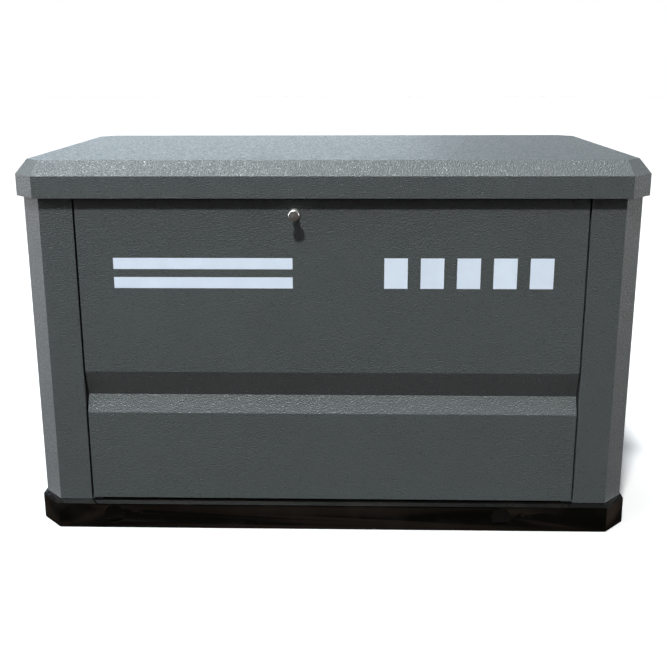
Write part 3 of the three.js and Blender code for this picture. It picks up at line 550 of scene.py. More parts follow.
def spline(points, per_span):
    """Points along a centripetal Catmull-Rom curve through the given ones."""
    p = [Vector(q) for q in points]
    p = [p[0] * 2 - p[1], *p, p[-1] * 2 - p[-2]]
    line = []
    for i in range(1, len(p) - 2):
        a, b, c, d = p[i - 1], p[i], p[i + 1], p[i + 2]
        ab, bc, cd = (math.sqrt((v - u).length) for u, v in ((a, b), (b, c), (c, d)))
        leave = ((b - a) / ab - (c - a) / (ab + bc) + (c - b) / bc) * bc
        arrive = ((c - b) / bc - (d - b) / (bc + cd) + (d - c) / cd) * bc
        for k in range(per_span):
            t = k / per_span
            cubic = (2 * b - 2 * c + leave + arrive) * t**3 + (3 * c - 3 * b - 2 * leave - arrive) * t**2
            line.append(cubic + leave * t + b)
    line.append(p[-2])
    return line


# ---------------------------------------------------------------- CAD nodes' finishes

BEVELS = {
    "base_tray": 3.0,
    "lid": 1.6,
    "front_panel": 0.9,
    "latch_knob": 0.5,
    "front_left_post": 0.9,
    "front_right_post": 0.9,
    "rear_left_post": 0.9,
    "rear_right_post": 0.9,
    "control_box": 0.9,
    "control_fascia": 0.6,
    "battery": 1.5,
    "crankcase": 2.0,
    "gas_mixer": 1.2,
    "air_cleaner_base": 1.2,
    "air_cleaner_cover": 2.5,
    "rocker_cover_front": 1.8,
    "rocker_cover_rear": 1.8,
    "starter_motor": 1.2,
    "muffler": 1.0,
}
DEFAULT_BEVEL = 0.35
# Sheet whose shallow folds show as lines.
FOLDED = ("front_panel", "lid", "front_left_post", "front_right_post", "rear_left_post", "rear_right_post")


CABLES = ("battery_cable_positive", "battery_cable_negative", "gas_hose", "alternator_harness")


def finish_nodes():
    """Each CAD node gets its material, its rounded edges and its shading."""
    slots = {s["node"]: s["material_slot"] for s in frame["record"]["subparts"]}
    for name, obj in NODES.items():
        obj.data.materials.clear()
        obj.data.materials.append(material(slots[name]))
        angle = FOLD_ANGLE if name in FOLDED else CABLE_ANGLE if name in CABLES else ROUND_ANGLE
        refine(obj, BEVELS.get(name, DEFAULT_BEVEL), angle=angle)


# ---------------------------------------------------------------- outside

FRONT = box("front_panel")[0].y


def on_front(x, z, out=0.0):
    """The matrix of a drawing on the front panel, with its origin at x, z."""
    return Matrix.Translation((x, FRONT - out, z)) @ Matrix.Rotation(math.pi / 2, 4, "X")


def graphics():
    """Plain cut vinyl shapes where a set carries its markings: stripes on the left, bars on the right."""
    thickness = 0.12
    stripes = Build()
    length, stripe, pitch = 348, 22, 38
    for i in range(2):
        outline = [(0, 0), (length, 0), (length, stripe), (0, stripe)]
        stripes.prism(outline, on_front(-421, 503 + i * pitch, 0.02), thickness)
    stripes.finish("marking_stripes", "front_panel", "grey", "decal")
    bars = Build()
    left, right, height = 104, 429, 60
    count, gap = 5, 25
    width = (right - left - gap * (count - 1)) / count
    for i in range(count):
        outline = [(0, 0), (width, 0), (width, height), (0, height)]
        bars.prism(outline, on_front(left + i * (width + gap), 503, 0.02), thickness)
    bars.finish("marking_bars", "front_panel", "grey", "decal")


def latch_details():
    """The nuts behind the panel: one on the bush and one on the cam."""
    low, high = box("latch_knob")
    x, z = (low.x + high.x) / 2, (low.z + high.z) / 2
    ring = [(0, 9.1), (0, 13), (4.4, 13), (4.4, 9.1), (0, 9.1)]
    nut = Build().lathe((x, FRONT + 2.2, z), (0, 1, 0), ring, 6)
    nut.finish("latch_nut", "front_panel", "zinc", "zinc", 0.4)
    end = Build().round((x, FRONT + 13.2, z), (0, 1, 0), 7.2, 4.2, 6)
    end.finish("latch_cam_nut", "latch", "zinc", "zinc", 0.4)


def seals():
    """Rubber strips beside the front and rear panels, and on the top edge that the lid closes on."""
    low, high = box("front_panel")
    strip = Build()
    for side in (-1, 1):
        x = side * (high.x + 1.9)
        strip.block((x - 1.2, low.y + 9, low.z + 2), (x + 1.2, low.y + 20, high.z + 20))
        strip.block((x - 1.2, 296, low.z + 2), (x + 1.2, 309, high.z + 31))
    strip.finish("edge_seals", "enclosure", "rubber", "seal", 0.6)
    rim = Build()
    top = box("top_front_rail")[1].z
    profile = [(-4, 0), (4, 0), (3, 3.5), (0, 5), (-3, 3.5)]
    turn = Matrix.Rotation(math.pi / 2, 4, "Z") @ Matrix.Rotation(math.pi / 2, 4, "X")
    rim.prism(profile, Matrix.Translation((-470, -293, top + 0.1)) @ turn, 470 * 2)
    for side in (-1, 1):
        across = Matrix.Rotation(math.pi / 2, 4, "X")
        rim.prism(profile, Matrix.Translation((side * 592, 205, top - 4)) @ across, 410)
    rim.finish("lid_seals", "enclosure", "rubber", "seal", 0.5)


def enclosure_screws():
    """Flange screws down the edges of the side and rear panels, and rivets along the hinge."""
    screws = Build()
    for side in (-1, 1):
        for y in (-219, 219):
            for z in (82, 286, 490, 694):
                screws.bolt((side * 600, y, z), (side, 0, 0), 8)
        for z in (92, 298, 504, 692):
            screws.bolt((side * 478, 313, z), (0, 1, 0), 8)
    screws.finish("panel_screws", "enclosure", "black_paint", "black_paint", 0.25)
    earth = Build().bolt((390, 333, 35), (0, 1, 0), 13)
    earth.finish("earth_bolt", "enclosure", "zinc", "zinc", 0.25)
    wall, lid = Build(), Build()
    for i in range(9):
        x = -400 + 100 * i
        wall.ball((x, 315.3, 646), 4.4, 0.45, (0, 1, 0))
        lid.ball((x, 324.9, 699), 4.4, 0.45, (0, 1, 0))
    wall.finish("hinge_rivets", "enclosure", "zinc", "zinc")
    lid.finish("hinge_lid_rivets", "lid", "zinc", "zinc")


def rear_fittings():
    """Blanking plugs in the two conduit holes, and the thread on the gas pipe's end."""
    plugs = Build()
    for x, radius in ((142, 22), (72, 14)):
        profile = [(-6, 0), (-6, radius - 1.5), (0.2, radius - 1.5), (0.2, radius + 5), (2, radius + 4.5)]
        profile += [(3.2, radius + 1), (3.2, radius - 5), (2.2, radius - 7), (2.2, 0)]
        plugs.lathe((x, 313, 110), (0, 1, 0), profile)
    plugs.finish("conduit_plugs", "enclosure", "rubber", "rubber", 0.3)
    thread = [(0, 12.8)]
    for i in range(8):
        thread += [(i * 1.8 + 0.5, 13.7), (i * 1.8 + 1.4, 12.9)]
    thread.append((15, 12.8))
    pipe = Build().lathe((262, 321.5, 95), (0, 1, 0), thread)
    pipe.round((262, 317, 95), (0, 1, 0), 25.5, 4.2, 6)
    pipe.finish("gas_pipe_thread", "enclosure", "brass", "brass", 0.2)


def egg_crate(name, body, size, place, thick, height, pitch, corner=0.0, replaced=None):
    """A sheet of egg-crate foam. It is drawn in XY around its middle, with its lumps towards +Z."""
    width, depth = size
    columns, rows = round(width / pitch) * 6, round(depth / pitch) * 6
    bm = bmesh.new()
    grid = []
    for j in range(rows + 1):
        line = []
        for i in range(columns + 1):
            x, y = width * (i / columns - 0.5), depth * (j / rows - 0.5)
            lump = math.sin(2 * math.pi * x / pitch) * math.sin(2 * math.pi * y / pitch)
            rim = min(1.0, min(width / 2 - abs(x), depth / 2 - abs(y)) / (pitch * 0.3))
            over = abs(x) + abs(y) - (width / 2 + depth / 2 - corner)
            if over > 0:
                # The corners are cut off: what is past the cut is drawn back to it.
                x -= math.copysign(over / 2, x)
                y -= math.copysign(over / 2, y)
                rim = 0.0
            line.append(bm.verts.new((x, y, thick - height + height * rim * (0.5 + 0.5 * lump))))
        grid.append(line)
    for a, b in zip(grid, grid[1:]):
        for i in range(columns):
            bm.faces.new((a[i], a[i + 1], b[i + 1], b[i]))
    bmesh.ops.remove_doubles(bm, verts=bm.verts, dist=0.01)
    edge = [e for e in bm.edges if e.is_boundary]
    skirt = bmesh.ops.extrude_edge_only(bm, edges=edge)["geom"]
    low = [v for v in skirt if isinstance(v, bmesh.types.BMVert)]
    for v in low:
        v.co.z = 0.0
    bmesh.ops.contextual_create(bm, geom=[e for e in skirt if isinstance(e, bmesh.types.BMEdge)])
    bmesh.ops.recalc_face_normals(bm, faces=bm.faces)
    mesh = bpy.data.meshes.new(name)
    bm.to_mesh(mesh)
    bm.free()
    mesh.transform(place)
    obj = piece(name, mesh, body, "foam")
    if replaced:
        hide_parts(replaced)
    return obj


def linings():
    """Acoustic foam under the lid and inside the panels, with the lid's washers."""
    down = Matrix.Rotation(math.pi, 4, "X")
    low, high = box("lid_foam")
    size = (high.x - low.x, high.y - low.y)
    under_lid = Matrix.Translation((0, 0, high.z)) @ down
    egg_crate("lid_lining", "lid", size, under_lid, 20, 9, 36, 40, "lid_foam")
    washer = [(0, 0), (0, 13), (10, 15), (11.5, 13), (12.5, 5), (12.5, 0)]
    washers = Build()
    for x in (-405, -135, 135, 405):
        for y in (-180, 0, 180):
            washers.lathe((x, y, 738), (0, 0, -1), washer, 20)
    washers.finish("lid_lining_washers", "lid", "plastic", "plastic", 0.3)
    back = Matrix.Rotation(-math.pi / 2, 4, "X")
    ahead = Matrix.Rotation(math.pi / 2, 4, "X")
    # Two pads, with room between them for the dipstick's handle when it is pulled out.
    for side, x, width in (("left", -335, 250), ("right", 160, 600)):
        place = Matrix.Translation((x, FRONT + 2.2, 480)) @ back
        egg_crate(f"front_lining_{side}", "front_panel", (width, 250), place, 16, 7, 36)
    on_rear = Matrix.Translation((-150, 310.8, 244)) @ ahead
    egg_crate("rear_lining", "enclosure", (640, 180), on_rear, 16, 7, 36)
    left = Matrix.Translation((-597.8, 0, 604)) @ Matrix.Rotation(math.pi / 2, 4, "Y")
    right = Matrix.Translation((597.8, 0, 622)) @ Matrix.Rotation(-math.pi / 2, 4, "Y")
    egg_crate("left_lining", "enclosure", (126, 396), left, 12, 6, 36)
    egg_crate("right_lining", "enclosure", (108, 396), right, 11, 6, 36)


def prop_fittings():
    """The stay's end clip and the plastic clip that holds it up under the lid."""
    ring = [(0, 3.2), (0, 7.5), (0.9, 7.5), (0.9, 3.2), (0, 3.2)]
    clip = Build().lathe((-581.2, 200, 708), (1, 0, 0), ring, 20)
    clip.finish("prop_rod_clip", "prop_rod", "steel", "steel", 0.15)
    x, y = -565, -120
    hook = Build()
    for side in (-1, 1):
        outline = [(4.4, -5), (6.4, -3), (6.4, 16), (2, 19), (2, 16.5), (4.4, 14.5), (4.4, -1), (3.6, -3)]
        points = [(side * u, v) for u, v in outline]
        hook.prism(points, Matrix.Translation((x, y + 7, 708)) @ Matrix.Rotation(math.pi / 2, 4, "X"), 14)
    hook.block((x - 5, y - 7, 724), (x + 5, y + 7, 747.6))
    hook.finish("prop_rod_keeper", "lid", "plastic", "plastic", 0.4)


# ---------------------------------------------------------------- engine

ENGINE = Vector((-215, 40, 238))
FRONT_BANK = Matrix.Translation(ENGINE + Vector((-12, 0, 0))) @ Matrix.Rotation(math.pi / 4, 4, "X")
REAR_BANK = Matrix.Translation(ENGINE + Vector((12, 0, 0))) @ Matrix.Rotation(-math.pi / 4, 4, "X")
BANKS = (("front", FRONT_BANK, -1), ("rear", REAR_BANK, 1))


def bank_fasteners():
    """Rocker cover bolts, cylinder base nuts and the covers' gaskets."""
    for end, place, _ in BANKS:
        bolts = Build()
        for sx in (-1, 1):
            for sy in (-1, 1):
                bolts.bolt((sx * 49.5, sy * 38.5, 222), (0, 0, 1), 6, washer=False)
                bolts.bolt((sx * 51, sy * 51, 102.3), (0, 0, 1), 10)
        bolts.finish(f"cylinder_bolts_{end}", "enclosure", "zinc", "zinc", 0.2, matrix=place)
        gasket = Build().prism(
            [(56, 36), (46, 46), (-46, 46), (-56, 36), (-56, -36), (-46, -46), (46, -46), (56, -36)],
            Matrix.Translation((0, 0, 215.9)),
            0.8,
        )
        proud = place @ Matrix.Scale(1.012, 4)
        gasket.finish(f"rocker_gasket_{end}", "enclosure", "rubber", "seal", matrix=proud)


def spark_plugs():
    """A plug on each head, its rubber boot, its lead and its coil beside the flywheel."""
    for end, place, side in BANKS:
        at, out = Vector((-30, side * 52, 193)), Vector((0, side, 0))
        metal = Build()
        metal.round(at, out, 9, 11, 24)
        metal.round(at + out * 10, out, 9.6, 9, 6)
        metal.finish(f"spark_plug_{end}", "enclosure", "zinc", "zinc", 0.4, matrix=place)
        insulator = Build()
        steps = [(0, 0), (0, 6.4), (4, 5.8), (5, 5.2), (8, 5.2), (9, 4.6), (14, 4.6), (14, 0)]
        insulator.lathe(at + out * 18, out, steps, 20)
        insulator.finish(f"spark_plug_insulator_{end}", "enclosure", "plastic", "ceramic", matrix=place)
        boot = Build()
        sleeve = [(0, 0), (0, 8.6), (3, 8.8), (4, 8), (16, 7.4), (22, 7.4), (25, 5), (26, 0)]
        boot.lathe(at + out * 26, out, sleeve, 24)
        tip = at + out * 46
        boot.tube([tip, tip + Vector((-10, side * 1, 0)), tip + Vector((-20, side * 1, 0))], 5.6, 14, 4)
        boot.finish(f"spark_plug_boot_{end}", "enclosure", "rubber", "rubber", 0.5, matrix=place)
        start = place @ (tip + Vector((-18, side * 1, 0)))
        points = [start, start + Vector((-14, side * 1, 2))]
        for x, y, z in ((-306, 124, 285), (-322, 84, 272), (-338, 60, 262)):
            points.append((x, ENGINE.y + side * y, z))
        Build().tube(points, 3.6, 12, 10).finish(f"plug_lead_{end}", "enclosure", "rubber", "rubber")
        coil = Build()
        y = ENGINE.y + side * 138
        coil.block((-351, y - 9, 240), (-337, y + 9, 282))
        coil.lathe((-344, y, 244), (0, 0, 1), [(0, 0), (0, 12), (4, 14), (30, 14), (34, 12), (34, 0)], 24)
        coil.finish(f"ignition_coil_{end}", "enclosure", "plastic", "plastic", 0.8)


def shroud_details():
    """Screws round the blower housing, and the wire guard over its inlet."""
    face = box("blower_housing")[0].x
    screws = Build()
    for degrees in (200, 236, 272, 308, 340):
        a = math.radians(degrees)
        screws.bolt((face, ENGINE.y + 138 * math.cos(a), ENGINE.z + 138 * math.sin(a)), (-1, 0, 0), 8)
    for y, z in ((-160, 112), (160, 112), (-110, 172), (110, 172), (0, 138)):
        screws.bolt((face, ENGINE.y + y, ENGINE.z + z), (-1, 0, 0), 8)
    screws.finish("shroud_screws", "enclosure", "zinc", "zinc", 0.2)
    guard = Build()
    for radius in (26, 44, 62, 80, 98, 114):
        ring = [(2 * math.cos(a), radius + 2 * math.sin(a)) for a in [math.pi * k / 4 for k in range(8)]]
        guard.lathe((face - 3.2, ENGINE.y, ENGINE.z), (-1, 0, 0), [*ring, ring[0]], 48)
    for i in range(6):
        a = math.pi * i / 3
        out = Vector((0, math.cos(a), math.sin(a)))
        hub = Vector((face - 3.2, ENGINE.y, ENGINE.z))
        guard.round(hub + out * 25, out, 2.0, 93, 8)
        guard.bolt(Vector((face, ENGINE.y, ENGINE.z)) + out * 119, (-1, 0, 0), 7)
    guard.finish("fan_guard", "enclosure", "steel", "zinc")


def crankcase_details():
    """Flange bolts, drain plug, foot bolts and the oil filter's grip."""
    bolts = Build()
    for side in (-1, 1):
        for x in (-86, -50, -20, 20, 50, 86):
            bolts.bolt((ENGINE.x + x, ENGINE.y + side * 109, ENGINE.z - 58), (0, 0, 1), 8)
    bolts.bolt((ENGINE.x - 35, ENGINE.y - 105, ENGINE.z - 100), (0, -1, 0), 17)
    bolts.bolt((ENGINE.x + 34, ENGINE.y - 105, ENGINE.z - 4), (0, -1, 0), 10)
    bolts.finish("crankcase_bolts", "enclosure", "zinc", "zinc", 0.25)
    feet = Build()
    for y in (-50, 130):
        feet.block((-325, y - 17, 109.4), (-306, y + 17, 121))
    feet.finish("crankcase_feet", "enclosure", "cast_aluminium", "cast_aluminium", 1.5)
    studs = Build()
    for y in (-50, 130):
        studs.bolt((-317, y, 121), (0, 0, 1), 10)
        for x in (-295, 105):
            studs.bolt((x, y, 109), (0, 0, 1), 13)
    studs.finish("foot_bolts", "enclosure", "zinc", "zinc", 0.3)
    plates = Build()
    for y in (-50, 130):
        for x in (-295, 105):
            for z in (53.6, 81.8):
                plates.lathe((x, y, z), (0, 0, 1), [(0, 22), (0, 28), (2.6, 28), (2.6, 22), (0, 22)], 32)
    plates.finish("mount_plates", "enclosure", "zinc", "zinc", 0.3)
    low, high = box("oil_filter")
    grip = Build()
    x, z = (low.x + high.x) / 2, (low.z + high.z) / 2
    for i in range(16):
        a = 2 * math.pi * i / 16
        out = Vector((math.cos(a), 0, math.sin(a)))
        grip.round(Vector((x, low.y + 4, z)) + out * 33.2, (0, 1, 0), 2.4, 15, 8, top=1.6)
    band = [(0, 36.5), (0.8, 38.2), (3.4, 38.2), (4.2, 36.5), (0, 36.5)]
    grip.lathe((x, high.y - 9, z), (0, 1, 0), band, 40)
    grip.finish("oil_filter_grip", "enclosure", "black_paint", "black_paint")
    cap = Build()
    tilt = Matrix.Translation((-175, -62, 211)) @ Matrix.Rotation(math.pi / 4, 4, "X")
    sleeve = [(0, 9.2), (0, 10.6), (4, 11.4), (11.6, 11.4), (11.6, 9.2), (0, 9.2)]
    cap.lathe((0, 0, 108), (0, 0, 1), sleeve, 24)
    cap.finish("dipstick_tube_collar", "enclosure", "zinc", "zinc", 0.3, matrix=tilt)


def starter_details():
    """The starter's brackets, through bolts and terminals."""
    brackets = Build()
    for x in (-300, -232):
        brackets.block((x - 7, -80, 182), (x + 7, -64, 222))
    brackets.finish("starter_brackets", "enclosure", "cast_aluminium", "cast_aluminium", 1.2)
    bolts = Build()
    for y, z in ((-24, 0), (24, 0)):
        bolts.bolt((-317, -106 + y, 204 + z), (-1, 0, 0), 8)
        bolts.bolt((-215, -106 + y, 204 + z), (1, 0, 0), 8)
    bolts.lathe((-214.8, -106, 204), (1, 0, 0), [(0, 0), (0, 15), (6, 13), (8, 9), (8, 0)], 24)
    bolts.finish("starter_bolts", "enclosure", "zinc", "zinc", 0.3)
    studs = Build()
    studs.lathe((-246, -112, 254), (1, 0, 0), [(0, 0), (0, 17), (4, 16), (6, 11), (6, 0)], 24)
    studs.finish("solenoid_cap", "enclosure", "plastic", "plastic", 0.5)
    nuts = Build()
    nuts.bolt((-229, -112, 254), (1, 0, 0), 10)
    nuts.bolt((-240, -112, 242), (1, 0, 0), 6)
    nuts.finish("solenoid_nuts", "enclosure", "brass", "brass", 0.2)


def intake_details():
    """Mixer screws, air cleaner clips, thumb nut and filter element, and the hose's clips."""
    x, y, z = ENGINE
    screws = Build()
    for sx in (-1, 1):
        for sy in (-1, 1):
            screws.bolt((x + sx * 24, y + sy * 26, z + 262), (0, 0, 1), 7)
            screws.bolt((x + sx * 29, y + sy * 21, z + 292), (0, 0, 1), 6, washer=False)
    screws.finish("mixer_screws", "enclosure", "zinc", "zinc", 0.2)
    low, high = box("air_cleaner_cover")
    nut = Build()
    knob = [(0, 0), (0, 15), (1.5, 15), (2.5, 9), (7, 8), (9, 6), (9, 0)]
    nut.lathe((x, y, high.z - 0.4), (0, 0, 1), knob, 28)
    for side in (-1, 1):
        nut.block((x + side * 8 - 7, y - 2.4, high.z + 1), (x + side * 8 + 7, y + 2.4, high.z + 15))
    nut.finish("air_cleaner_nut", "enclosure", "plastic", "plastic", 1.2)
    clips = Build()
    base = box("air_cleaner_base")[0].z
    for sx in (-70, 70):
        for side in (-1, 1):
            wall = y + side * 100
            near, far = sorted((wall, wall + side * 2.2))
            clips.block((x + sx - 9, near, base + 8), (x + sx + 9, far, high.z - 34))
            clips.round((x + sx - 9, wall + side * 2.4, high.z - 34), (1, 0, 0), 3.2, 18, 16)
            clips.round((x + sx - 9, wall + side * 2.4, base + 12), (1, 0, 0), 2.6, 18, 16)
    clips.finish("air_cleaner_clips", "enclosure", "steel", "zinc", 0.4)
    rim = Build()
    outline = [(130, -78), (130, 78), (108, 100), (-108, 100)]
    outline += [(-130, 78), (-130, -78), (-108, -100), (108, -100)]
    outer = [(u * 1.012, v * 1.015) for u, v in outline]
    rim.prism(outer, Matrix.Translation((x, y, base + 27.4)), 3.6)
    rim.finish("air_cleaner_gasket", "enclosure", "rubber", "seal", 0.6)
    element = Build()
    pleats = [(-104 + i * 4, 22 if i % 2 else -22) for i in range(53)]
    thick = [(u + 0.7, v) for u, v in reversed(pleats)]
    stand = Matrix.Translation((x, y + 72, low.z + 27)) @ Matrix.Rotation(math.pi / 2, 4, "X")
    element.prism(pleats + thick, stand, 144)
    element.finish("air_filter_element", "enclosure", "grey", "paper")
    clamps = Build()
    for at, axis in (((-156, 40, 481), (1, 0, 0)), ((262, 230, 271), (0, 0, 1))):
        clamps.lathe(at, axis, [(0, 10.2), (0, 11.4), (9, 11.4), (9, 10.2), (0, 10.2)], 32)
    clamps.block((-155, 36, 491), (-148, 50, 497))
    clamps.block((272, 226, 272), (279, 240, 279))
    clamps.finish("hose_clamps", "enclosure", "steel", "zinc", 0.3)


# ---------------------------------------------------------------- alternator and exhaust


def alternator_details():
    """Through bolts, the winding heads with their lashing, the bearing and the end bell's bolts."""
    x, y, z = ENGINE
    bolts = Build()
    for degrees in (35, 145, 215, 325):
        a = math.radians(degrees)
        out = Vector((0, math.cos(a), math.sin(a)))
        axis = Vector((0, y, z)) + out * 130
        bolts.round(axis + Vector((-66, 0, 0)), (1, 0, 0), 3.6, 214, 14)
        bolts.bolt(axis + Vector((148, 0, 0)), (1, 0, 0), 9)
    for degrees in (45, 135, 225, 315):
        a = math.radians(degrees)
        bolts.bolt((x + 390, y + 40 * math.cos(a), z + 40 * math.sin(a)), (1, 0, 0), 9)
    bolts.finish("alternator_bolts", "enclosure", "zinc", "zinc", 0.2)
    lugs = Build()
    for degrees in (35, 145, 215, 325):
        turn = Matrix.Translation((0, y, z)) @ Matrix.Rotation(math.radians(degrees), 4, "X")
        for low, high in ((-78, -62), (134, 148)):
            lugs.block((low, 114, -10), (high, 138, 10), turn)
    lugs.finish("alternator_lugs", "enclosure", "cast_aluminium", "cast_aluminium", 2.5)
    heads = Build()
    arc = [math.pi * k / 8 for k in range(17)]
    ring = [(9 * math.cos(a), 101 + 11 * math.sin(a)) for a in arc]
    heads.lathe((x + 341, y, z), (1, 0, 0), ring, 64)
    heads.finish("winding_heads", "enclosure", "copper", "windings")
    ties = Build()
    for i in range(24):
        turn = Matrix.Translation((x + 341, y, z)) @ Matrix.Rotation(2 * math.pi * i / 24, 4, "X")
        loop = [(9.8 * math.cos(a), 101 + 11.8 * math.sin(a)) for a in arc[:-1]]
        lay = Matrix(((1, 0, 0, 0), (0, 1, 0, 0), (0, 0, 1, -1.6), (0, 0, 0, 1)))
        ties.prism([(u, v) for u, v in loop], turn @ lay, 3.2)
    ties.finish("winding_ties", "enclosure", "plastic", "ceramic")
    bearing = Build()
    outer = [(0, 36), (0, 49), (10, 49), (10, 36), (8.8, 35), (8.8, 24), (1.2, 24), (1.2, 35), (0, 36)]
    bearing.lathe((x + 363, y, z), (1, 0, 0), outer, 48)
    bearing.finish("bearing_outer", "enclosure", "steel", "steel", 0.3)
    inner = [(0, 14.1), (0, 23.4), (10, 23.4), (10, 14.1), (0, 14.1)]
    race = Build().lathe((x + 363, y, z), (1, 0, 0), inner, 40)
    race.finish("bearing_inner", "rotating_group", "steel", "steel", 0.3)
    gland = Build()
    for at, axis, flange, length in (
        ((115, -100, 244.5), (0, 1, 0), 20, 14),
        ((175, -140, 504), (0, 0, 1), 21, 15.6),
    ):
        body = [(0, 11.4), (0, 15), (2, 17), (10, 17), (10, flange)]
        body += [(length, flange), (length, 11.4), (0, 11.4)]
        gland.lathe(at, axis, body, 12)
    gland.finish("cable_glands", "enclosure", "plastic", "plastic", 0.5)


def exhaust_details():
    """Flange nuts, clamps, the silencer's straps and seams, and the heat shield's foot and ribs."""
    nuts = Build()
    for sx, sy in ((-1, -1), (1, 1)):
        at = Vector((ENGINE.x + sx * 12 + 76, ENGINE.y + sy * 134, ENGINE.z + 134))
        for side in (-1, 1):
            nuts.bolt(at + Vector((0, 0, side * 21)), (1, 0, 0), 9)
    for x in (397, 539):
        for y in (50, 140):
            nuts.bolt((x, y, 56.5), (0, 0, 1), 9)
    nuts.finish("exhaust_nuts", "enclosure", "steel", "exhaust_steel", 0.2)
    bands = Build()
    for y in (30, 160):
        profile = [(-11, 84), (-11, 86.4), (-9, 87.2), (9, 87.2), (11, 86.4), (11, 84), (-11, 84)]
        bands.lathe((468, y, 430), (0, 1, 0), profile, 64)
        bands.block((460, y - 9, 514.5), (476, y + 9, 527))
        bands.bolt((476, y, 521), (1, 0, 0), 8)
        bands.bolt((460, y, 521), (-1, 0, 0), 8)
    for y, out in ((-62, -1), (252, 1)):
        bands.lathe((468, y, 430), (0, out, 0), [(-3, 84.5), (-2, 87), (2, 87), (3, 84.5), (-3, 84.5)], 64)
    bands.lathe((366, 108, 430), (1, 0, 0), [(0, 31), (0, 34), (11, 34), (11, 31), (0, 31)], 40)
    bands.block((368, 102, 462), (375, 114, 474))
    bands.bolt((371.5, 102, 470), (0, -1, 0), 7)
    bands.lathe((238, 108, 430), (1, 0, 0), [(0, 20.8), (0, 23), (14, 23), (14, 20.8), (0, 20.8)], 40)
    bands.block((241, 103, 452), (249, 113, 462))
    bands.bolt((245, 103, 458), (0, -1, 0), 7)
    collar = [(-4, 18.8), (-4, 24), (0, 21), (6, 20.2), (6, 18.8), (-4, 18.8)]
    bands.lathe((556, 185, 430), (1, 0, 0), collar, 40)
    bands.finish("exhaust_clamps", "enclosure", "exhaust_steel", "exhaust_steel", 0.4)
    shield = Build()
    low, high = box("heat_shield")
    shield.block((low.x - 20, -80, 53.6), (low.x, 290, 55.6))
    for z in (150, 260, 500):
        rib = [(-6, 0), (6, 0), (3.5, -3), (-3.5, -3)]
        shield.prism(rib, Matrix.Translation((low.x, -80, z)) @ TURN_Y, 360)
    for z in (150, 260, 370, 480):
        outline = [(0, -6), (-3, -3.5), (-3, 3.5), (0, 6)]
        shield.prism(outline, Matrix.Translation((340, low.y, z)) @ TURN_X, 236)
    shield.finish("heat_shield_ribs", "enclosure", "zinc", "zinc", 0.5)
    screws = Build()
    for y in (-60, 45, 160, 270):
        screws.bolt((low.x - 10, y, 55.6), (0, 0, 1), 8)
    screws.finish("heat_shield_screws", "enclosure", "zinc", "zinc", 0.2)


# ---------------------------------------------------------------- gas, battery and controls


def gas_details():
    """The regulator's rim screws, cap and bracket, and the valve's gland nut."""
    x, z = 262, 195
    screws = Build()
    for i in range(10):
        a = 2 * math.pi * (i + 0.5) / 10
        screws.bolt((x + 50 * math.cos(a), 216.6, z + 50 * math.sin(a)), (0, -1, 0), 6)
    screws.bolt((x, 190.2, 95), (0, -1, 0), 10)
    screws.finish("regulator_screws", "enclosure", "zinc", "zinc", 0.2)
    dome = [(0, 0), (0, 14), (2, 14), (2, 11), (9, 10), (10, 8), (10, 0)]
    cap = Build().lathe((x, 196.2, z), (0, -1, 0), dome, 28)
    cap.finish("regulator_cap", "enclosure", "brass", "brass", 0.4)
    bracket = Build()
    bracket.block((x - 14, 254, z - 12), (x + 14, 308, z - 9))
    bracket.block((x - 14, 307.5, z - 34), (x + 14, 310.5, z + 14))
    bracket.block((x - 14, 254.5, z - 12), (x + 14, 257.5, z + 26))
    bracket.finish("regulator_bracket", "enclosure", "zinc", "zinc", 0.5)
    valve = Build()
    valve.lathe((x, 213.8, 95), (0, -1, 0), [(0, 5), (0, 12), (5, 12), (8, 9), (8, 5), (0, 5)], 12)
    valve.lathe((x, 256.6, 95), (0, 1, 0), [(0, 0), (0, 19), (14, 19), (15, 17), (15, 0)], 6)
    valve.lathe((x, 230, 114), (0, 0, 1), [(0, 0), (0, 17), (10, 17), (11, 15), (11, 0)], 6)
    valve.finish("valve_nuts", "enclosure", "brass", "brass", 0.5)


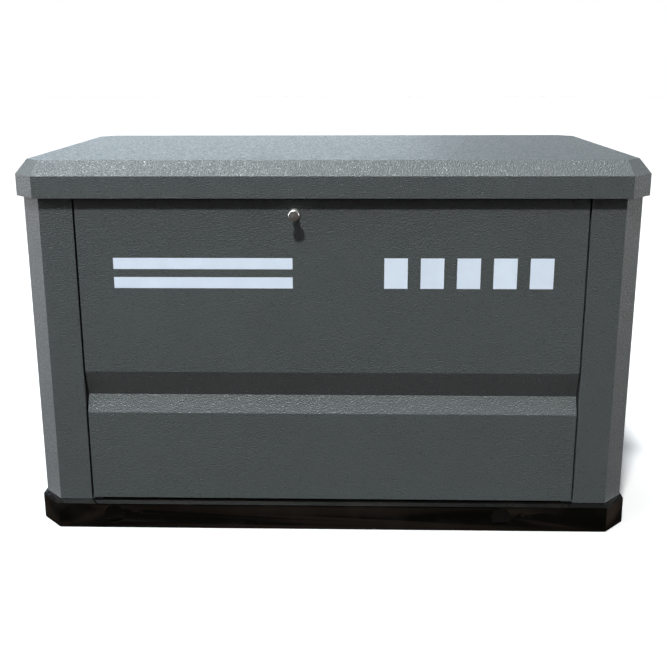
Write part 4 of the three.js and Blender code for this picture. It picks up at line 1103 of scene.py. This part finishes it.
def battery_details():
    """Vent caps, the hold-down with its hooked rods, the clamp bolts, the tray and a terminal cover."""
    x, top = 458, 247
    caps = Build()
    for i in range(6):
        at = (x + (i - 2.5) * 34, -236, top - 0.2)
        caps.lathe(at, (0, 0, 1), [(0, 0), (0, 11), (3.5, 10.4), (4.2, 9.6), (4.2, 0)], 28)
        caps.block((at[0] - 7, at[1] - 1.2, top + 3.6), (at[0] + 7, at[1] + 1.2, top + 5.6))
    caps.finish("battery_caps", "enclosure", "plastic", "plastic", 0.4)
    strip = Build().block((x - 100, -251, top - 0.1), (x + 100, -221, top + 1.1))
    strip.finish("battery_cap_strip", "enclosure", "grey", "clear_case", 0.6)
    hold = Build()
    hold.block((333, -192, top + 0.3), (582, -170, top + 3.3))
    channel = [(-11, 0), (11, 0), (11, 7), (9, 7), (9, 1), (-9, 1), (-9, 7), (-11, 7)]
    hold.prism(channel, Matrix.Translation((334, -181, top + 3)) @ TURN_X, 246)
    hold.finish("battery_hold_down", "enclosure", "black_paint", "black_paint", 0.5)
    rods = Build()
    for at in (335.0, 580.5):
        rods.round((at, -181, 54), (0, 0, 1), 2.8, 214, 14)
        rods.bolt((at, -181, top + 3.4), (0, 0, 1), 9)
    for side in (-1, 1):
        rods.bolt((x + side * 80, -156, top + 24), (0, -1, 0), 8)
    rods.finish("battery_rods", "enclosure", "zinc", "zinc", 0.2)
    tray = Build()
    for low, high in (
        ((337.2, -275.5, 53.7), (579, -273.6, 74)),
        ((337.2, -106.4, 53.7), (579, -104.5, 74)),
        ((337.2, -273.6, 53.7), (338.8, -106.4, 74)),
        ((577.4, -273.6, 53.7), (579, -106.4, 74)),
    ):
        tray.block(low, high)
    tray.finish("battery_tray", "enclosure", "black_paint", "black_paint", 0.4)
    cover = Build()
    shell = [(0, 14), (0, 16), (9, 16), (13, 12), (14, 0), (12.5, 0), (11, 11), (8, 14), (0, 14)]
    cover.lathe((x - 80, -142, top + 21), (0, 0, 1), shell, 28)
    cover.finish("terminal_cover", "enclosure", "red", "red", 0.4)


def cable_clips():
    """Clips that hold the starter cable to the base."""
    clips = Build()
    for at in (150, 30, -90):
        loop = [(0, 6.1), (0, 7.6), (12, 7.6), (12, 6.1), (0, 6.1)]
        clips.lathe((at - 6, -205.6, 66.2), (1, 0, 0), loop, 24)
        clips.block((at - 6, -200, 57.6), (at + 6, -186, 59.4))
        clips.bolt((at, -191, 59.2), (0, 0, 1), 6)
    clips.finish("cable_clips", "enclosure", "steel", "zinc", 0.3)


DESK = Matrix.Translation((175, -280, 600)) @ Matrix.Rotation(math.atan2(90, 145), 4, "X")


def control_details():
    """The display, lamps, collars, breaker frame and screws on the slanted desk, and its brackets."""
    glass = Build().block((-115.6, 58.4, 4.2), (-40.4, 111.6, 4.75))
    glass.finish("display_glass", "enclosure", "plastic", "screen", 0.2, matrix=DESK)
    lamps = (("ready", -102, "lamp_green"), ("running", -78, "yellow"), ("alarm", -54, "lamp_red"))
    for name, x, look in lamps:
        lamp = Build()
        lamp.lathe((x, 36, 3.4), (0, 0, 1), [(0, 0), (0, 3.6), (2, 3.4), (3.4, 2.2), (4, 0)], 20)
        lamp.finish(f"lamp_{name}", "enclosure", "plastic", look, matrix=DESK)
    collars = Build()
    for x in (-102, -78, -54):
        collars.lathe((x, 36, 3.4), (0, 0, 1), [(0, 3.7), (0, 5.6), (1.2, 5.2), (1.2, 3.7), (0, 3.7)], 24)
    for y in (52, 82, 112):
        collar = [(0, 10.1), (0, 13.2), (1.6, 12.6), (2, 11.4), (1.4, 10.1), (0, 10.1)]
        collars.lathe((-10, y, 3.4), (0, 0, 1), collar, 32)
    collars.finish("fascia_collars", "enclosure", "steel", "zinc", 0.2, matrix=DESK)
    frame_ring = Build()
    for low, high in (
        ((56, 52, 3.4), (100, 57.8, 5.4)),
        ((56, 112.2, 3.4), (100, 118, 5.4)),
        ((56, 57.8, 3.4), (61.8, 112.2, 5.4)),
        ((94.2, 57.8, 3.4), (100, 112.2, 5.4)),
    ):
        frame_ring.block(low, high)
    frame_ring.finish("breaker_frame", "enclosure", "grey", "grey", 0.5, matrix=DESK)
    screws = Build()
    for x in (-132, 132):
        for y in (16, 155):
            head = [(0, 0), (0, 5), (1.4, 4.6), (2.6, 3), (2.9, 1.6), (1.6, 1.2), (1.6, 0)]
            screws.lathe((x, y, 3.3), (0, 0, 1), head, 20)
    screws.finish("fascia_screws", "enclosure", "steel", "zinc", 0.1, matrix=DESK)
    panel = Build()
    for low, high in (
        ((112, 30, 3.4), (126, 140, 3.62)),
        ((-22, 132, 3.4), (2, 136, 3.62)),
        ((-122, 128, 3.4), (-34, 131, 3.62)),
    ):
        panel.block(low, high)
    panel.finish("fascia_stripes", "enclosure", "grey", "decal_grey", matrix=DESK)
    fixings = Build()
    for x in (37, 313):
        for z in (532, 588):
            fixings.bolt((x, -280, z), (0, -1, 0), 6, washer=False, hexagon=False)
        for z in (540, 600, 670):
            fixings.bolt((x, -80, z), (0, 1, 0), 6, washer=False, hexagon=False)
    for side, x in ((1, 27.2), (-1, 322.8)):
        fixings.bolt((x + side * 2, -257, 694), (side, 0, 0), 7)
        for y in (-294, -282):
            fixings.bolt((x + side * 12, y, 714.2), (0, 0, 1), 7, washer=False, hexagon=False)
    fixings.finish("control_screws", "enclosure", "zinc", "zinc", 0.2)
    brackets = Build()
    for side, x in ((1, 27.2), (-1, 322.8)):
        a, b = sorted((x, x + side * 2))
        brackets.block((a, -273, 684), (b, -243, 714.2))
        a, b = sorted((x, x + side * 24))
        brackets.block((a, -300, 712.2), (b, -243, 714.2))
    brackets.finish("control_brackets", "enclosure", "zinc", "zinc", 0.3)


def looms():
    """The engine's wiring in corrugated tube, from the control box to the starter and the mixer."""

    def ribbed(radius, count):
        return lambda t: radius + (0.7 if int(t * count) % 2 else 0)

    routes = {
        "starter_loom": [
            (80, -180, 521),
            (74, -186, 430),
            (-10, -192, 330),
            (-120, -190, 300),
            (-196, -165, 288),
            (-236, -122, 272),
            (-243, -113, 262),
        ],
        "mixer_loom": [
            (60, -120, 521),
            (40, -110, 490),
            (-40, -60, 500),
            (-110, -20, 500),
            (-160, 0, 492),
            (-186, 14, 480),
        ],
    }
    for name, points in routes.items():
        loom = Build().tube(points, ribbed(6.0, 180), 12, 46)
        loom.finish(name, "enclosure", "plastic", "plastic")
    grommets = Build()
    for x, y in ((80, -180), (60, -120)):
        lip = [(0, 6.2), (0, 12), (3, 11.5), (5, 8.5), (5, 6.2), (0, 6.2)]
        grommets.lathe((x, y, 519.6), (0, 0, -1), lip, 28)
    grommets.finish("loom_grommets", "enclosure", "rubber", "rubber", 0.4)
    ties = Build()
    ring = [(0, 10.6), (0, 12.4), (4.5, 12.4), (4.5, 10.6), (0, 10.6)]
    for at, axis in (
        ((175, -156, 446), (0.05, 0.15, 1)),
        ((160, -160, 376), (0.25, -0.1, 1)),
        ((145, -150, 330), (0.25, -0.3, 1)),
    ):
        ties.lathe(at, axis, ring, 24)
    ties.finish("harness_ties", "enclosure", "plastic", "ceramic", 0.3)


# Turns that lay an outline's thickness along +X or +Y, with its first axis along Y or Z.
TURN_X = Matrix(((0, 0, 1, 0), (1, 0, 0, 0), (0, 1, 0, 0), (0, 0, 0, 1)))
TURN_Y = Matrix(((0, 1, 0, 0), (0, 0, 1, 0), (1, 0, 0, 0), (0, 0, 0, 1)))

for make in (
    graphics,
    latch_details,
    seals,
    enclosure_screws,
    rear_fittings,
    linings,
    prop_fittings,
    bank_fasteners,
    spark_plugs,
    shroud_details,
    crankcase_details,
    starter_details,
    intake_details,
    alternator_details,
    exhaust_details,
    gas_details,
    battery_details,
    cable_clips,
    control_details,
    looms,
    finish_nodes,
):
    make()

# ---------------------------------------------------------------- floor, light and camera


def stage_piece(name, mesh, shader):
    """A stage object that only the camera sees, so that it casts no light of its own on the object."""
    obj = bpy.data.objects.new(name, mesh)
    bpy.context.scene.collection.objects.link(obj)
    mesh.materials.append(shader)
    obj.visible_diffuse = False
    obj.visible_glossy = False
    obj.visible_transmission = False
    obj.visible_shadow = False
    return obj


def stage():
    """A plain pale floor in a white room."""
    size = 24
    mesh = bpy.data.meshes.new("floor")
    corners = [(-size, -size, 0), (size, -size, 0), (size, size, 0), (-size, size, 0)]
    mesh.from_pydata(corners, [], [(0, 1, 2, 3)])
    s = Shader("floor_paint", (0.60, 0.60, 0.60), 0.6, 0.0, Specular_IOR_Level=0.1)
    s.vary(s.ramp(s.noise(900, 2.0), 0.3, 0.7), 0.99, 1.0)
    stage_piece("floor", mesh, s.material).location.z = -0.0005
    white = bpy.data.materials.new("white_room")
    white.use_nodes = True
    tree = white.node_tree
    glow = tree.nodes.new("ShaderNodeEmission")
    tree.links.new(glow.outputs[0], tree.nodes["Material Output"].inputs["Surface"])
    tree.nodes.remove(tree.nodes["Principled BSDF"])
    room = bmesh.new()
    bmesh.ops.create_icosphere(room, subdivisions=4, radius=size)
    mesh = bpy.data.meshes.new("room")
    room.to_mesh(mesh)
    room.free()
    stage_piece("room", mesh, white)


def area_light(name, at, target, size, power, color=(1, 1, 1)):
    data = bpy.data.lights.new(name, "AREA")
    data.shape = "RECTANGLE"
    data.size, data.size_y = size
    data.energy = power
    data.color = color
    obj = bpy.data.objects.new(name, data)
    obj.location = at
    obj.rotation_euler = (Vector(target) - Vector(at)).to_track_quat("-Z", "Y").to_euler()
    obj.visible_camera = False
    bpy.context.scene.collection.objects.link(obj)


def sun(name, direction, strength, width_deg, color=(1, 1, 1)):
    data = bpy.data.lights.new(name, "SUN")
    data.energy = strength
    data.angle = math.radians(width_deg)
    data.color = color
    obj = bpy.data.objects.new(name, data)
    obj.rotation_euler = Vector(direction).to_track_quat("-Z", "Y").to_euler()
    bpy.context.scene.collection.objects.link(obj)


def surroundings():
    """A dim room for reflections: pale blue above, and a patchy brown floor below."""
    world = bpy.data.worlds.new("studio")
    world.use_nodes = True
    nodes, links = world.node_tree.nodes, world.node_tree.links
    where = nodes.new("ShaderNodeTexCoord").outputs["Generated"]
    height = nodes.new("ShaderNodeSeparateXYZ")
    links.new(where, height.inputs[0])
    patches = nodes.new("ShaderNodeTexNoise")
    patches.inputs["Scale"].default_value = 1.7
    patches.inputs["Detail"].default_value = 0.5
    links.new(where, patches.inputs["Vector"])
    spread = nodes.new("ShaderNodeMapRange")
    spread.inputs["From Min"].default_value = 0.42
    spread.inputs["From Max"].default_value = 0.62
    links.new(patches.outputs["Fac"], spread.inputs["Value"])
    floor = nodes.new("ShaderNodeMix")
    floor.data_type = "RGBA"
    floor.inputs[6].default_value = (0.012, 0.010, 0.008, 1)
    floor.inputs[7].default_value = (0.20, 0.145, 0.11, 1)
    links.new(spread.outputs["Result"], floor.inputs[0])
    above = nodes.new("ShaderNodeMapRange")
    above.inputs["From Min"].default_value = -0.06
    above.inputs["From Max"].default_value = 0.06
    links.new(height.outputs["Z"], above.inputs["Value"])
    sky = nodes.new("ShaderNodeMix")
    sky.data_type = "RGBA"
    sky.inputs[7].default_value = (0.085, 0.09, 0.10, 1)
    links.new(above.outputs["Result"], sky.inputs[0])
    links.new(floor.outputs[2], sky.inputs[6])
    links.new(sky.outputs[2], nodes["Background"].inputs["Color"])
    bpy.context.scene.world = world


def lights():
    """A key from the front above, fills from both sides, and softboxes overhead on the left and behind."""
    surroundings()
    sun("key", (7, 19, -36), 4.5, 4.5, (1.0, 0.99, 0.97))
    sun("overhead", (4, 1, -35), 1.4, 22, (0.80, 0.91, 1.0))
    sun("left_fill", (30, 0, -6), 3.1, 40, (1.0, 0.98, 1.0))
    sun("right_fill", (-30, 0, -6), 2.1, 40)
    area_light("top_left", (-1.5, -0.75, 2.5), (-0.4, -0.3, 0.7), (1.3, 1.3), 34, (0.70, 0.86, 1.0))
    area_light("back_softbox", (-0.9, 2.9, 1.6), (-0.1, 0, 0.75), (3.0, 1.0), 32, (0.80, 0.91, 1.0))
    area_light("back_right", (1.3, 2.9, 1.5), (0.3, 0, 0.75), (1.6, 0.9), 5, (0.84, 0.93, 1.0))
    bpy.context.scene.view_settings.view_transform = "Standard"


def camera():
    """The camera of the photograph: its place, its turn to the left, its tilt down and its slight roll."""
    data = bpy.data.cameras.new("camera")
    data.sensor_width = 36
    data.lens = 49.66
    data.shift_x, data.shift_y = 0.0105, -0.0636
    data.clip_end = 100
    obj = bpy.data.objects.new("camera", data)
    obj.location = (0.039, -2.045, 0.929)
    turn, tilt, roll = math.radians(1.54), math.radians(13.97), math.radians(-0.2)
    aim = Matrix.Rotation(turn, 3, "Z") @ Matrix.Rotation(math.pi / 2 - tilt, 3, "X")
    aim = aim @ Matrix.Rotation(roll, 3, "Z")
    obj.rotation_euler = aim.to_euler()
    bpy.context.scene.collection.objects.link(obj)
    bpy.context.scene.camera = obj


stage()
lights()
camera()
